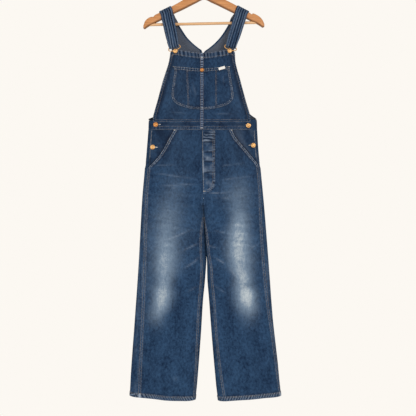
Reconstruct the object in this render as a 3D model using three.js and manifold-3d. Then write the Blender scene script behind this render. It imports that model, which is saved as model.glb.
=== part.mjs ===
// Denim dungarees hanging on a wooden hanger.
// Millimetres, +Z up, the front of the garment faces -Y.
// The origin is the inside top of the hanger's hook, where a rail would hold it.
// Cloth panels are thin walls through level sections of the garment's outline.

import * as THREE from 'three';
import { mergeVertices } from 'three/addons/utils/BufferGeometryUtils.js';
import Module from 'manifold-3d';

const wasm = await Module();
wasm.setup();

// Thicknesses and gaps
const GAP = 0.3;
const CLOTH = 1.4;
const DOUBLE_CLOTH = 2.2;
const STRAP_CLOTH = 2.6;
const HEM_EXTRA = 1.0;
const FELL_RAISE = 0.8;

// Heights of the main seams and edges
const WAIST_TOP = -539;
const WAIST_BOTTOM = -571.5;
const OPENING_BOTTOM = -706;
const CROTCH_TOP = -811;
const CROTCH_BOTTOM = -872;
const HEM = -1530;
const HEM_DEPTH = 13;
const HEM_SWING = 150;

// Widths and insets
const SIDE_ROUND = 42;
const INNER_ROUND = 36;
const CROWN = 3;
const BIB_EDGE_BEHIND = 24;
const FACING_TUCK = 15;
const EXTENSION = 30;
const EXTENSION_DROP = 5;
const FACING_DROP = 2.5;
const POCKET_LIFT = 2.2;
const FELL_WIDTH = 12;
const LEG_PARTING = 0.3;
const LEG_LEAN = 0.3;
const LEAN_TOP = -1010;
const LEAN_LOW = -1075;

// Outline of the body and legs from the front, with the depth of front and back
const BODY = [
  { z: -140, left: -150, right: 150, front: 14, back: 14 },
  { z: -290, left: -146, right: 137, front: 20, back: 20 },
  { z: -322, left: -150, right: 138, front: 20.5, back: 21 },
  { z: -393, left: -171, right: 156, front: 22, back: 23 },
  { z: -465, left: -189, right: 174, front: 24, back: 26 },
  { z: -520, left: -199, right: 190, front: 25.5, back: 28 },
  { z: -540, left: -201, right: 193, front: 26, back: 29 },
  { z: -572, left: -202, right: 194, front: 27, back: 30 },
  { z: -640, left: -207.3, right: 198.2, front: 29, back: 32 },
  { z: -712, left: -213, right: 204.8, front: 30, back: 33 },
  { z: -821, left: -222.3, right: 215.2, front: 30, back: 32 },
  { z: -965, left: -230.4, right: 227.2, front: 27, back: 28 },
  { z: -1109, left: -238.7, right: 238, front: 25, back: 25 },
  { z: -1253, left: -249.1, right: 249.1, front: 23, back: 23 },
  { z: -1397, left: -259.6, right: 265.3, front: 22, back: 22 },
  { z: -1469, left: -264.2, right: 271.8, front: 22, back: 22 },
  { z: -1545, left: -267.4, right: 279.5, front: 24, back: 24 },
];

// Centre line of the front and back, and the inner edge of each leg below the crotch
const INNER = [
  { z: -140, left: -6.6, right: -6.6 },
  { z: -572, left: -6.4, right: -6.4 },
  { z: -811, left: -1.8, right: -1.8 },
  { z: -890, left: 3, right: 3 },
  { z: -965, left: 6.4, right: 6.6 },
  { z: -1030, left: 9.6, right: 10.6 },
  { z: -1109, left: 4.7, right: 12.4 },
  { z: -1181, left: -2.5, right: 18.4 },
  { z: -1325, left: -11.5, right: 29.2 },
  { z: -1469, left: -23, right: 42.5 },
  { z: -1545, left: -31, right: 52.5 },
];

// How far each seam lies forward of the garment's edge, so both legs twist one way
const SEAM_INSET = [
  { z: -700, leftOuter: 12.5, rightOuter: 8, leftInner: 0, rightInner: 0 },
  { z: -790, leftOuter: 12.5, rightOuter: 9.5, leftInner: 0, rightInner: 0 },
  { z: -872, leftOuter: 15, rightOuter: 13, leftInner: 0, rightInner: 0 },
  { z: -960, leftOuter: 17, rightOuter: 15.5, leftInner: 8, rightInner: 7 },
  { z: -1060, leftOuter: 19.5, rightOuter: 15.5, leftInner: 10.5, rightInner: 11 },
  { z: -1180, leftOuter: 22.8, rightOuter: 12.2, leftInner: 9.5, rightInner: 13.5 },
  { z: -1280, leftOuter: 25.5, rightOuter: 7, leftInner: 9, rightInner: 12.5 },
  { z: -1400, leftOuter: 29, rightOuter: 4, leftInner: 6, rightInner: 14.5 },
  { z: -1545, leftOuter: 32, rightOuter: 0.5, leftInner: 3, rightInner: 22 },
];

// Slanted hip pocket openings
const SLANT = [
  { z: -571.5, left: -105.4, right: 100.1 },
  { z: -599, left: -121, right: 113.9 },
  { z: -637, left: -142, right: 145 },
  { z: -666, left: -160.5, right: 169.5 },
  { z: -690, left: -182, right: 189.5 },
  { z: -706, left: -199, right: 196.3 },
];

// Side edges of the bib
const BIB_SIDE = [
  { z: -283, left: -119.6, right: 111 },
  { z: -322, left: -126, right: 113.8 },
  { z: -393, left: -147.1, right: 132.1 },
  { z: -465, left: -165.6, right: 150.2 },
  { z: -522, left: -180.6, right: 166 },
  { z: -539, left: -182, right: 167 },
];

// Top edge of the bib, with a tab at each button
const BIB_TOP = [
  { x: -122, z: -297 },
  { x: -112, z: -287 },
  { x: -101, z: -283 },
  { x: -86, z: -286 },
  { x: -45, z: -292 },
  { x: -3.4, z: -295.5 },
  { x: 40, z: -291.5 },
  { x: 76, z: -286 },
  { x: 92, z: -282.5 },
  { x: 104, z: -287 },
  { x: 114, z: -297 },
];

// Front ends of the waistband
const BAND_END = [
  { z: -539, left: -182, right: 167 },
  { z: -571.5, left: -190.5, right: 172.4 },
];

// High back: neckline on the inside of each half and armhole on the outside
const BACK_LEFT = [
  { z: -184, neck: -92.7, arm: -133 },
  { z: -205.5, neck: -78.1, arm: -132 },
  { z: -227, neck: -63.6, arm: -129 },
  { z: -243.6, neck: -49.1, arm: -126 },
  { z: -257, neck: -34.6, arm: -122.5 },
  { z: -268.6, neck: -20.1, arm: -119 },
  { z: -284, neck: -0.3, arm: -116 },
  { z: -322, neck: -0.3, arm: -118 },
  { z: -393, neck: -0.9, arm: -138 },
  { z: -465, neck: -2.6, arm: -157 },
  { z: -514, neck: -3.6, arm: -178 },
  { z: -527, neck: -3.9, arm: -199.5 },
];
const BACK_RIGHT = [
  { z: -167.4, neck: 97.8, arm: 138 },
  { z: -184, neck: 89.3, arm: 137 },
  { z: -205.5, neck: 76.5, arm: 132 },
  { z: -227, neck: 61.5, arm: 125 },
  { z: -243.6, neck: 47, arm: 119 },
  { z: -257, neck: 33.5, arm: 114.5 },
  { z: -268.6, neck: 19.5, arm: 111.5 },
  { z: -284, neck: 0.3, arm: 108 },
  { z: -322, neck: -0.1, arm: 107 },
  { z: -393, neck: -0.7, arm: 124 },
  { z: -465, neck: -2.4, arm: 142 },
  { z: -500, neck: -3.2, arm: 160 },
  { z: -527, neck: -3.7, arm: 190 },
];

// Bib pocket: its mouth, and its sides down to the rounded bottom
const POCKET_MOUTH = [
  { x: -109, z: -344.5 },
  { x: -60, z: -348.5 },
  { x: -6.6, z: -352.5 },
  { x: 45, z: -348.5 },
  { x: 93, z: -344.5 },
];
const POCKET_SIDE = [
  { z: -344, left: -108, right: 92 },
  { z: -362, left: -104, right: 93.5 },
  { z: -400, left: -110, right: 99.5 },
  { z: -446, left: -114.5, right: 106 },
  { z: -460, left: -112.5, right: 104 },
  { z: -472, left: -106, right: 97 },
  { z: -482, left: -93, right: 84 },
  { z: -490, left: -74, right: 63 },
  { z: -495.5, left: -52, right: 40 },
  { z: -498.5, left: -28, right: 15 },
];

// Hem line of the two legs
const HEM_LINE = [
  { x: -263, z: -1523.5 },
  { x: -220, z: -1526.5 },
  { x: -176, z: -1530 },
  { x: -134, z: -1535 },
  { x: -80, z: -1537.5 },
  { x: -20, z: -1537.5 },
  { x: 45, z: -1540.5 },
  { x: 91, z: -1537.5 },
  { x: 134, z: -1534 },
  { x: 177, z: -1531 },
  { x: 220, z: -1527 },
  { x: 276, z: -1523.5 },
];

// Largest folds of the front: a line, its width, and its height out of the cloth
const FRONT_FOLDS = [
  { x1: -122, z1: -1105, x2: -124, z2: -1262, width: 15, height: 3.2 },
  { x1: -98, z1: -1110, x2: -101, z2: -1262, width: 15, height: -2.6 },
  { x1: -158, z1: -969, x2: -48, z2: -931, width: 9, height: 1.6 },
  { x1: -78, z1: -1004, x2: -19, z2: -976, width: 9, height: 1.5 },
  { x1: -72, z1: -1065, x2: -14, z2: -1026, width: 9, height: 1.7 },
  { x1: -165, z1: -1150, x2: -158, z2: -1230, width: 26, height: 2.6 },
  { x1: -198, z1: -1400, x2: -176, z2: -1490, width: 16, height: -2.2 },
  { x1: 32, z1: -929, x2: 136, z2: -950, width: 9, height: 1.6 },
  { x1: 36, z1: -1022, x2: 87, z2: -1059, width: 9, height: 1.7 },
  { x1: 87, z1: -1059, x2: 130, z2: -1111, width: 9, height: 1.7 },
  { x1: 139, z1: -1138, x2: 205, z2: -1114, width: 9, height: -3 },
  { x1: 150, z1: -1160, x2: 152, z2: -1220, width: 30, height: 3 },
  { x1: 80, z1: -830, x2: 80, z2: -1176, width: 20, height: -2.2 },
  { x1: 122, z1: -880, x2: 132, z2: -1090, width: 26, height: 2 },
  { x1: 60, z1: -585, x2: 66, z2: -732, width: 12, height: -2 },
  { x1: 214, z1: -1400, x2: 190, z2: -1500, width: 16, height: -2 },
  { x1: -76, z1: -380, x2: -55, z2: -452, width: 10, height: -2 },
  { x1: -40, z1: -400, x2: -30, z2: -460, width: 12, height: 1.6 },
];

// Largest folds of the back, like those of the front
const BACK_FOLDS = [
  { x1: -150, z1: -850, x2: -40, z2: -880, width: 12, height: 2 },
  { x1: 40, z1: -878, x2: 150, z2: -852, width: 12, height: 2 },
  { x1: -190, z1: -1150, x2: -60, z2: -1120, width: 12, height: -2.4 },
  { x1: -200, z1: -1190, x2: -80, z2: -1205, width: 12, height: 2.2 },
  { x1: 70, z1: -1122, x2: 200, z2: -1152, width: 12, height: -2.4 },
  { x1: 90, z1: -1208, x2: 205, z2: -1188, width: 12, height: 2.2 },
  { x1: -110, z1: -620, x2: -100, z2: -760, width: 24, height: 2.4 },
  { x1: 100, z1: -620, x2: 92, z2: -760, width: 24, height: 2.4 },
  { x1: -140, z1: -1380, x2: -128, z2: -1500, width: 16, height: -2 },
  { x1: 150, z1: -1380, x2: 140, z2: -1500, width: 16, height: -2 },
];

// Straps: shoulder on the hanger's arm, buckle bar in front, sewn end behind
const STRAP_TAIL = 24;
const STRAPS = {
  left: {
    shoulderX: -139, slope: 26, bar: [-106.5, -274.9], barTilt: 18.8,
    back: [-113, -187], backEnd: [-103, -222], backTilt: 26, front: 1,
  },
  right: {
    shoulderX: 141, slope: -27.5, bar: [97, -273.7], barTilt: -17.4,
    back: [117, -172], backEnd: [106, -208], backTilt: -26, front: -1,
  },
};
const STRAP_WIDTH_TOP = 46;
const STRAP_WIDTH_MID = 44;
const STRAP_WIDTH_END = 37;
const BAR_DEPTH = -25;

// Buttons
const BIB_BUTTONS = [
  { name: 'button_bib_left', x: -101.2, z: -290.6, radius: 8 },
  { name: 'button_bib_right', x: 92, z: -289.5, radius: 8 },
];
const SIDE_BUTTONS = [
  { name: 'button_side_left_upper', x: -170.8, z: -553.3 },
  { name: 'button_side_left_lower', x: -181.8, z: -633.1 },
  { name: 'button_side_right_upper', x: 158.7, z: -556.8 },
  { name: 'button_side_right_lower', x: 176.1, z: -626.6 },
];
const SIDE_BUTTON_RADIUS = 8.5;
const POCKET_BUTTON = { x: -6.5, z: -358.7, radius: 7 };
const WIRE_RADIUS = 1.5;

// Fly, centre strip and label
const FLY = { right: 41, straightTo: -757, bottom: -800 };
const STRIP = { x: -7, halfWidth: 6, top: -297.5, bottom: -568 };
const LABEL = { x: 64.1, z: -352, width: 22.5, height: 9.6, tilt: 17 };

// Hanger: upper and lower edge of the wood from tip to tip
const WOOD_HALF_THICKNESS = 10;
const WOOD = [
  { x: -217.5, top: -194, low: -203 },
  { x: -213, top: -180.5, low: -205.5 },
  { x: -205, top: -170.5, low: -200 },
  { x: -196, top: -164.5, low: -194.5 },
  { x: -187, top: -161.8, low: -190.5 },
  { x: -182, top: -162, low: -188 },
  { x: -176.5, top: -156, low: -185 },
  { x: -164, top: -149.5, low: -178.5 },
  { x: -135, top: -134.5, low: -164.5 },
  { x: -106, top: -119.5, low: -149.4 },
  { x: -77, top: -102.8, low: -136 },
  { x: -48, top: -83, low: -121.3 },
  { x: -26, top: -67.5, low: -110 },
  { x: -12, top: -61.5, low: -102.5 },
  { x: 0, top: -60.5, low: -97.5 },
  { x: 12, top: -61, low: -101.5 },
  { x: 26, top: -66.5, low: -109 },
  { x: 48, top: -82, low: -119 },
  { x: 77, top: -100.5, low: -133.3 },
  { x: 103, top: -114, low: -146 },
  { x: 132, top: -130, low: -159 },
  { x: 160, top: -145, low: -172 },
  { x: 167, top: -149, low: -176 },
  { x: 171.5, top: -153, low: -178.5 },
  { x: 176.5, top: -149.5, low: -181 },
  { x: 189, top: -154.5, low: -186 },
  { x: 203, top: -164, low: -194.5 },
  { x: 212, top: -175, low: -200 },
  { x: 217.5, top: -188, low: -197 },
];
const WOOD_RING = 12;
const WOOD_SQUARE = 0.7;
const ROD = { radius: 5, left: [-199.5, -190], right: [204.5, -181.6], socket: 6 };
const HOOK = { inner: 20, wire: 2, shankTop: -48, shankEnd: -74 };

// Colours
const DENIM = '#2b3f5f';
const DENIM_DARK = '#22324c';
const DENIM_INSIDE = '#4a505c';
const SEAM_BLUE = '#56617a';
const BRASS = '#d8a557';
const COPPER = '#b9824a';
const LABEL_WHITE = '#e6e2d8';
const BEECH = '#d99a62';
const STEEL = '#b9bcc0';

const garment = new THREE.Group();

function cloth(color) {
  return new THREE.MeshStandardMaterial({ color, roughness: 0.9, metalness: 0 });
}

function metal(color) {
  return new THREE.MeshStandardMaterial({ color, roughness: 0.35, metalness: 1 });
}

function wood(color) {
  return new THREE.MeshStandardMaterial({ color, roughness: 0.5, metalness: 0 });
}

function add(name, geometry, material) {
  const mesh = new THREE.Mesh(geometry, material);
  mesh.name = name;
  garment.add(mesh);
  return mesh;
}

// A smooth value between the rows of a table, keyed by one column
function along(table, key, column, at) {
  const rising = table[0][key] < table[table.length - 1][key];
  const rows = rising ? table : [...table].reverse();
  const last = rows.length - 1;
  const value = THREE.MathUtils.clamp(at, rows[0][key], rows[last][key]);
  let i = 0;
  while (i < last - 1 && rows[i + 1][key] < value) i += 1;
  const span = rows[i + 1][key] - rows[i][key];
  const t = (value - rows[i][key]) / span;
  const slopeAt = (k) => {
    const before = rows[Math.max(k - 1, 0)];
    const after = rows[Math.min(k + 1, last)];
    return (after[column] - before[column]) / (after[key] - before[key]);
  };
  const t2 = t * t;
  const t3 = t2 * t;
  return (2 * t3 - 3 * t2 + 1) * rows[i][column]
    + (t3 - 2 * t2 + t) * span * slopeAt(i)
    + (3 * t2 - 2 * t3) * rows[i + 1][column]
    + (t3 - t2) * span * slopeAt(i + 1);
}

// A soft step from 0 at one value to 1 at another, rising or falling
function smooth(from, to, value) {
  const t = THREE.MathUtils.clamp((value - from) / (to - from), 0, 1);
  return t * t * (3 - 2 * t);
}

// Height of the folds at a point of the front or back
function foldHeight(folds, x, z) {
  let height = 0;
  for (const fold of folds) {
    const dx = fold.x2 - fold.x1;
    const dz = fold.z2 - fold.z1;
    const length = Math.hypot(dx, dz);
    const along = ((x - fold.x1) * dx + (z - fold.z1) * dz) / length;
    const across = ((x - fold.x1) * dz - (z - fold.z1) * dx) / length;
    const ends = smooth(-fold.width, fold.width, along)
      * smooth(-fold.width, fold.width, length - along);
    height += fold.height * ends * Math.exp(-((across / fold.width) ** 2));
  }
  return height;
}

// How far the crotch has closed under the body: 0 above it, 1 along the inside leg
function closing(z) {
  return 1 - smooth(CROTCH_BOTTOM, CROTCH_TOP, z);
}

// Section of one side of the body, or of one leg, at a height.
// Where the thighs touch, their inner edges lean, so that one laps over the other.
// The turn s runs 0 to 1 round the outer front, 1 to 2 across the front,
// 2 to 3 round the inner front, and 3 to 6 back again behind.
function section(side, z) {
  const sign = side === 'left' ? -1 : 1;
  const outer = along(BODY, 'z', side, z);
  const parting = z > CROTCH_BOTTOM ? GAP / 2 : LEG_PARTING;
  const inner = along(INNER, 'z', side, z) + sign * parting;
  return {
    sign,
    outer,
    inner,
    front: along(BODY, 'z', 'front', z),
    back: along(BODY, 'z', 'back', z),
    close: closing(z),
    lean: LEG_LEAN * closing(z) * smooth(LEAN_LOW, LEAN_TOP, z),
    flat: Math.abs(outer - inner) - SIDE_ROUND - INNER_ROUND,
  };
}

const INNER_EDGE = 2.9999;

function flatPoint(shape, s) {
  const turn = s >= 6 ? s - 6 : s;
  const behind = turn >= 3 && s < 6;
  const q = behind ? 6 - turn : turn;
  const depth = behind ? shape.back : -shape.front;
  let inset;
  let level;
  if (q <= 1) {
    const angle = q * Math.PI / 2;
    inset = SIDE_ROUND * (1 - Math.cos(angle));
    level = Math.sin(angle);
  } else if (q <= 2) {
    inset = SIDE_ROUND + (q - 1) * shape.flat;
    level = 1 + (CROWN / Math.abs(depth)) * Math.sin((q - 1) * Math.PI) ** 2;
  } else {
    const angle = (3 - q) * Math.PI / 2;
    inset = SIDE_ROUND + shape.flat + INNER_ROUND * Math.cos(angle);
    level = 1 - shape.close * (1 - Math.sin(angle));
  }
  const y = depth * level;
  const leaning = shape.lean * smooth(2, 2.5, q) * y;
  return [shape.outer - shape.sign * inset + leaning, y, behind];
}

// The turn s that lies a given distance in from the outer edge, or from the inner edge
function turnAtInset(shape, inset) {
  if (inset >= SIDE_ROUND) return 1 + (inset - SIDE_ROUND) / shape.flat;
  return Math.acos(1 - Math.max(inset, 0) / SIDE_ROUND) / (Math.PI / 2);
}

function turnAtInner(inset) {
  return INNER_EDGE - Math.acos(1 - Math.max(inset, 0) / INNER_ROUND) / (Math.PI / 2);
}

// A point of the garment's outer surface, moved out by a lift
function skin(side, z, s, lift = 0) {
  const shape = section(side, z);
  const step = 0.004;
  const [x, y, behind] = flatPoint(shape, s);
  const low = s >= 3 ? Math.max(s - step, 3) : s - step;
  const high = s < 3 ? Math.min(s + step, INNER_EDGE) : s + step;
  const a = flatPoint(shape, low);
  const b = flatPoint(shape, high);
  let nx = (a[1] - b[1]) * shape.sign;
  let ny = (b[0] - a[0]) * shape.sign;
  const size = Math.hypot(nx, ny) || 1;
  nx /= size;
  ny /= size;
  const folds = behind ? BACK_FOLDS : FRONT_FOLDS;
  const quiet = Math.abs(ny) ** 2;
  const raised = lift + foldHeight(folds, x, z) * quiet;
  return new THREE.Vector3(x + nx * raised, y + ny * raised, z);
}

// The same, found by its place across the front or the back
function skinAt(x, z, lift = 0, behind = false) {
  const centre = along(INNER, 'z', 'left', z);
  const side = x < centre ? 'left' : 'right';
  const shape = section(side, z);
  const inset = (shape.outer - x) * shape.sign;
  const q = turnAcross(shape, inset);
  return skin(side, z, behind ? 6 - q : q, lift);
}

// Closed wall between two grids of points with the same rows and columns
function wallBetween(outer, inner) {
  const rows = outer.length;
  const columns = outer[0].length;
  const count = rows * columns;
  const positions = [];
  for (const grid of [outer, inner]) {
    for (const row of grid) {
      for (const point of row) positions.push(point.x, point.y, point.z);
    }
  }
  const index = [];
  const at = (layer, i, j) => layer * count + i * columns + j;
  const quad = (a, b, c, d) => index.push(a, b, c, a, c, d);
  for (let i = 0; i < rows - 1; i += 1) {
    for (let j = 0; j < columns - 1; j += 1) {
      quad(at(0, i, j), at(0, i + 1, j), at(0, i + 1, j + 1), at(0, i, j + 1));
      quad(at(1, i, j), at(1, i, j + 1), at(1, i + 1, j + 1), at(1, i + 1, j));
    }
  }
  for (let j = 0; j < columns - 1; j += 1) {
    quad(at(0, 0, j), at(0, 0, j + 1), at(1, 0, j + 1), at(1, 0, j));
    quad(at(0, rows - 1, j), at(1, rows - 1, j), at(1, rows - 1, j + 1), at(0, rows - 1, j + 1));
  }
  for (let i = 0; i < rows - 1; i += 1) {
    quad(at(0, i, 0), at(1, i, 0), at(1, i + 1, 0), at(0, i + 1, 0));
    quad(at(0, i, columns - 1), at(0, i + 1, columns - 1), at(1, i + 1, columns - 1), at(1, i, columns - 1));
  }
  const geometry = new THREE.BufferGeometry();
  geometry.setAttribute('position', new THREE.Float32BufferAttribute(positions, 3));
  geometry.setIndex(index);
  return facingOut(geometry);
}

// Turn the faces so that the volume is positive
function facingOut(geometry) {
  const position = geometry.getAttribute('position');
  const index = geometry.getIndex();
  const corner = [new THREE.Vector3(), new THREE.Vector3(), new THREE.Vector3()];
  let volume = 0;
  for (let i = 0; i < index.count; i += 3) {
    corner.forEach((point, k) => point.fromBufferAttribute(position, index.getX(i + k)));
    volume += corner[0].dot(corner[1].cross(corner[2]));
  }
  if (volume < 0) {
    for (let i = 0; i < index.count; i += 3) {
      const first = index.getX(i);
      index.setX(i, index.getX(i + 1));
      index.setX(i + 1, first);
    }
  }
  return geometry;
}

// Wall whose outer and inner faces come from one function of column, height and lift
function wall(heights, columns, thickness, place) {
  const outer = heights.map((z, i) => columns.map((u) => place(u, z, 0, i)));
  const inner = heights.map((z, i) => columns.map((u) => place(u, z, -thickness, i)));
  return wallBetween(outer, inner);
}

function steps(count) {
  return Array.from({ length: count + 1 }, (_, i) => i / count);
}

// Heights from top to bottom at a chosen spacing, with extra ones kept
function heightsBetween(top, bottom, spacing, kept = []) {
  const count = Math.max(1, Math.round((top - bottom) / spacing));
  const even = steps(count).map((t) => top + (bottom - top) * t);
  const near = (z) => kept.some((k) => Math.abs(k - z) < spacing * 0.45);
  const inside = even.slice(1, -1).filter((z) => !near(z));
  return [top, ...inside, ...kept, bottom].sort((a, b) => b - a);
}

// Turn s at an even share u of the cloth's length between two turns
function turnByLength(shape, from, to, u) {
  const samples = 48;
  const lengths = [0];
  let previous = flatPoint(shape, from);
  for (let i = 1; i <= samples; i += 1) {
    const point = flatPoint(shape, from + (to - from) * i / samples);
    lengths.push(lengths[i - 1] + Math.hypot(point[0] - previous[0], point[1] - previous[1]));
    previous = point;
  }
  const goal = u * lengths[samples];
  let i = 1;
  while (i < samples && lengths[i] < goal) i += 1;
  const t = (goal - lengths[i - 1]) / (lengths[i] - lengths[i - 1]);
  return from + (to - from) * (i - 1 + t) / samples;
}

// Hems swing to their own line over the lowest part of the legs
function hemShift(x, z) {
  const share = smooth(HEM + HEM_SWING, HEM, z);
  return share * (along(HEM_LINE, 'x', 'z', x) - HEM);
}

// Extra cloth at hems and felled seams
function seamRaise(z, fromSeam) {
  const hem = z < HEM + HEM_DEPTH ? HEM_EXTRA : 0;
  const fell = fromSeam < FELL_WIDTH ? FELL_RAISE : 0;
  return Math.max(hem, fell);
}

const LEG_HEIGHTS = heightsBetween(WAIST_BOTTOM - GAP, HEM, 62, [
  -593, -615, -637, -660, OPENING_BOTTOM + 24, OPENING_BOTTOM + 15, OPENING_BOTTOM + 9, OPENING_BOTTOM,
  CROTCH_TOP, -826, -841, -856, CROTCH_BOTTOM, HEM + HEM_DEPTH, HEM + HEM_DEPTH + 1,
]);
const BESIDE_SEAM = 0.05;
const BODY_COLUMNS = [0, BESIDE_SEAM, ...steps(12).slice(1, -1), 1 - BESIDE_SEAM, 1];

function legFront(side) {
  const geometry = wall(LEG_HEIGHTS, BODY_COLUMNS, CLOTH, (u, z, lift) => {
    const shape = section(side, z);
    const slant = (shape.outer - along(SLANT, 'z', side, z)) * shape.sign;
    const seam = along(SEAM_INSET, 'z', `${side}Outer`, z);
    const start = turnAtInset(shape, (z > OPENING_BOTTOM ? slant : seam) + GAP / 2);
    const end = turnAtInner(along(SEAM_INSET, 'z', `${side}Inner`, z) + GAP / 2);
    const stop = z > CROTCH_BOTTOM ? INNER_EDGE : end;
    const raise = lift < 0 ? 0 : seamRaise(z, u < BESIDE_SEAM ? 0 : FELL_WIDTH);
    const point = skin(side, z, turnByLength(shape, start, stop, u), lift + raise);
    point.z += hemShift(point.x, z);
    return point;
  });
  add(`leg_front_${side}`, geometry, cloth(DENIM));
}

function legBack(side) {
  const geometry = wall(LEG_HEIGHTS, BODY_COLUMNS, CLOTH, (u, z, lift) => {
    const shape = section(side, z);
    const open = smooth(OPENING_BOTTOM + 9, OPENING_BOTTOM + 24, z);
    const sunk = smooth(OPENING_BOTTOM, OPENING_BOTTOM + 9, z);
    const seam = along(SEAM_INSET, 'z', `${side}Outer`, z) - GAP / 2;
    const outerEnd = turnAtInset(shape, seam + EXTENSION * open);
    const innerEnd = turnAtInner(along(SEAM_INSET, 'z', `${side}Inner`, z) - GAP / 2);
    const start = z > CROTCH_BOTTOM ? 3 : innerEnd;
    const s = turnByLength(shape, start, 6 + outerEnd, u);
    const under = sunk * EXTENSION_DROP * smooth(5.8, 6.25, s);
    const raise = lift < 0 || z > HEM + HEM_DEPTH ? 0 : HEM_EXTRA;
    const point = skin(side, z, s, lift + raise - under);
    point.z += hemShift(point.x, z);
    return point;
  });
  add(`leg_back_${side}`, geometry, cloth(DENIM));
}

function pocketFacing(side) {
  const heights = heightsBetween(WAIST_BOTTOM - GAP, OPENING_BOTTOM - 4, 19);
  const edge = { left: 12, right: 10 };
  const geometry = wall(heights, steps(8), CLOTH, (u, z, lift) => {
    const shape = section(side, z);
    const slant = (shape.outer - along(SLANT, 'z', side, z)) * shape.sign;
    const seam = along(SEAM_INSET, 'z', `${side}Outer`, z) + 2;
    const free = smooth(OPENING_BOTTOM + 22, OPENING_BOTTOM + 40, z);
    const inset = seam + (edge[side] - seam) * free;
    const start = turnAtInset(shape, inset);
    const end = turnAtInset(shape, Math.max(slant, inset) + FACING_TUCK);
    return skin(side, z, turnByLength(shape, start, end, u), lift - FACING_DROP);
  });
  add(`pocket_facing_${side}`, geometry, cloth(DENIM_DARK));
}

function waistband() {
  const heights = [WAIST_TOP, (WAIST_TOP + WAIST_BOTTOM) / 2, WAIST_BOTTOM];
  const geometry = wall(heights, steps(30), DOUBLE_CLOTH, (u, z, lift) => {
    const left = along(BAND_END, 'z', 'left', z);
    const right = along(BAND_END, 'z', 'right', z);
    return skinAt(left + (right - left) * u, z, lift);
  });
  add('waistband_front', geometry, cloth(DENIM));
}

function bibHalf(side) {
  const heights = heightsBetween(-283, WAIST_TOP + GAP, 26);
  const sign = side === 'left' ? -1 : 1;
  const geometry = wall(heights, steps(11), CLOTH, (u, z, lift) => {
    const edge = along(BIB_SIDE, 'z', side, z);
    const middle = STRIP.x + sign * GAP / 2;
    const x = edge + (middle - edge) * u;
    const top = along(BIB_TOP, 'x', 'z', x);
    const t = (z - heights[0]) / (heights[heights.length - 1] - heights[0]);
    const height = top + (heights[heights.length - 1] - top) * t;
    return skinAt(x, height, lift);
  });
  add(`bib_${side}`, geometry, cloth(DENIM));
}

// How far the pocket lifts what lies over it, with a soft ramp at its mouth and bottom
function overPocket(x, z) {
  const mouth = along(POCKET_MOUTH, 'x', 'z', x);
  const ramp = 5;
  const above = 1 - smooth(mouth + 2, mouth + 2 + ramp, z);
  const below = smooth(-498.5 - GAP - ramp, -498.5 - GAP, z);
  return above * below * (POCKET_LIFT + 0.3);
}

function bibPocket() {
  const bottom = POCKET_SIDE[POCKET_SIDE.length - 1].z;
  const heights = [-345, -354, -363, -364.5, -385, -408, -430, -446, -460, -472, -482, -490, -495.5, bottom];
  const level = POCKET_LIFT;
  const geometry = wall(heights, steps(14), CLOTH, (u, z, lift) => {
    const left = along(POCKET_SIDE, 'z', 'left', z);
    const right = along(POCKET_SIDE, 'z', 'right', z);
    const x = left + (right - left) * u;
    const share = smooth(-420, -345, z);
    const height = z + share * (along(POCKET_MOUTH, 'x', 'z', x) + 345);
    const welt = z > -364 && lift >= 0 ? HEM_EXTRA * 0.6 : 0;
    return skinAt(x, height, lift + level + welt);
  });
  add('bib_pocket', geometry, cloth(DENIM));
}

function centreStrip() {
  const kept = [-342, -348, -354.5, -498, -504, WAIST_TOP];
  const heights = heightsBetween(STRIP.top, STRIP.bottom, 22, kept);
  const level = CLOTH + GAP;
  const geometry = wall(heights, steps(2), CLOTH, (u, z, lift) => {
    const x = STRIP.x + STRIP.halfWidth * (2 * u - 1);
    return skinAt(x, z, lift + level + overPocket(x, z) + 0.7);
  });
  add('bib_centre_strip', geometry, cloth(SEAM_BLUE));
}

function flyPlacket() {
  const heights = heightsBetween(WAIST_BOTTOM - GAP, FLY.straightTo, 28)
    .concat([-770, -782, -792, FLY.bottom]);
  const level = CLOTH + GAP;
  const geometry = wall(heights, steps(4), CLOTH, (u, z, lift) => {
    const centre = along(INNER, 'z', 'right', z) + GAP;
    const fall = Math.max(0, (FLY.straightTo - z) / (FLY.straightTo - FLY.bottom));
    const reach = (FLY.right - centre) * Math.sqrt(Math.max(0, 1 - fall ** 2.2));
    const width = Math.max(reach, 7);
    return skinAt(centre + width * u, z, lift + level);
  });
  add('fly_placket', geometry, cloth(DENIM_DARK));
}

function blankLabel() {
  const tilt = THREE.MathUtils.degToRad(LABEL.tilt);
  const level = POCKET_LIFT + 2.2;
  const heights = [0.5, -0.5];
  const geometry = wall(heights, steps(3), 0.8, (u, v, lift) => {
    const across = (u - 0.5) * LABEL.width;
    const up = v * LABEL.height;
    const x = LABEL.x + across * Math.cos(tilt) - up * Math.sin(tilt);
    const z = LABEL.z + across * Math.sin(tilt) + up * Math.cos(tilt);
    return skinAt(x, z, lift + level);
  });
  add('label_blank', geometry, cloth(LABEL_WHITE));
}

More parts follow.
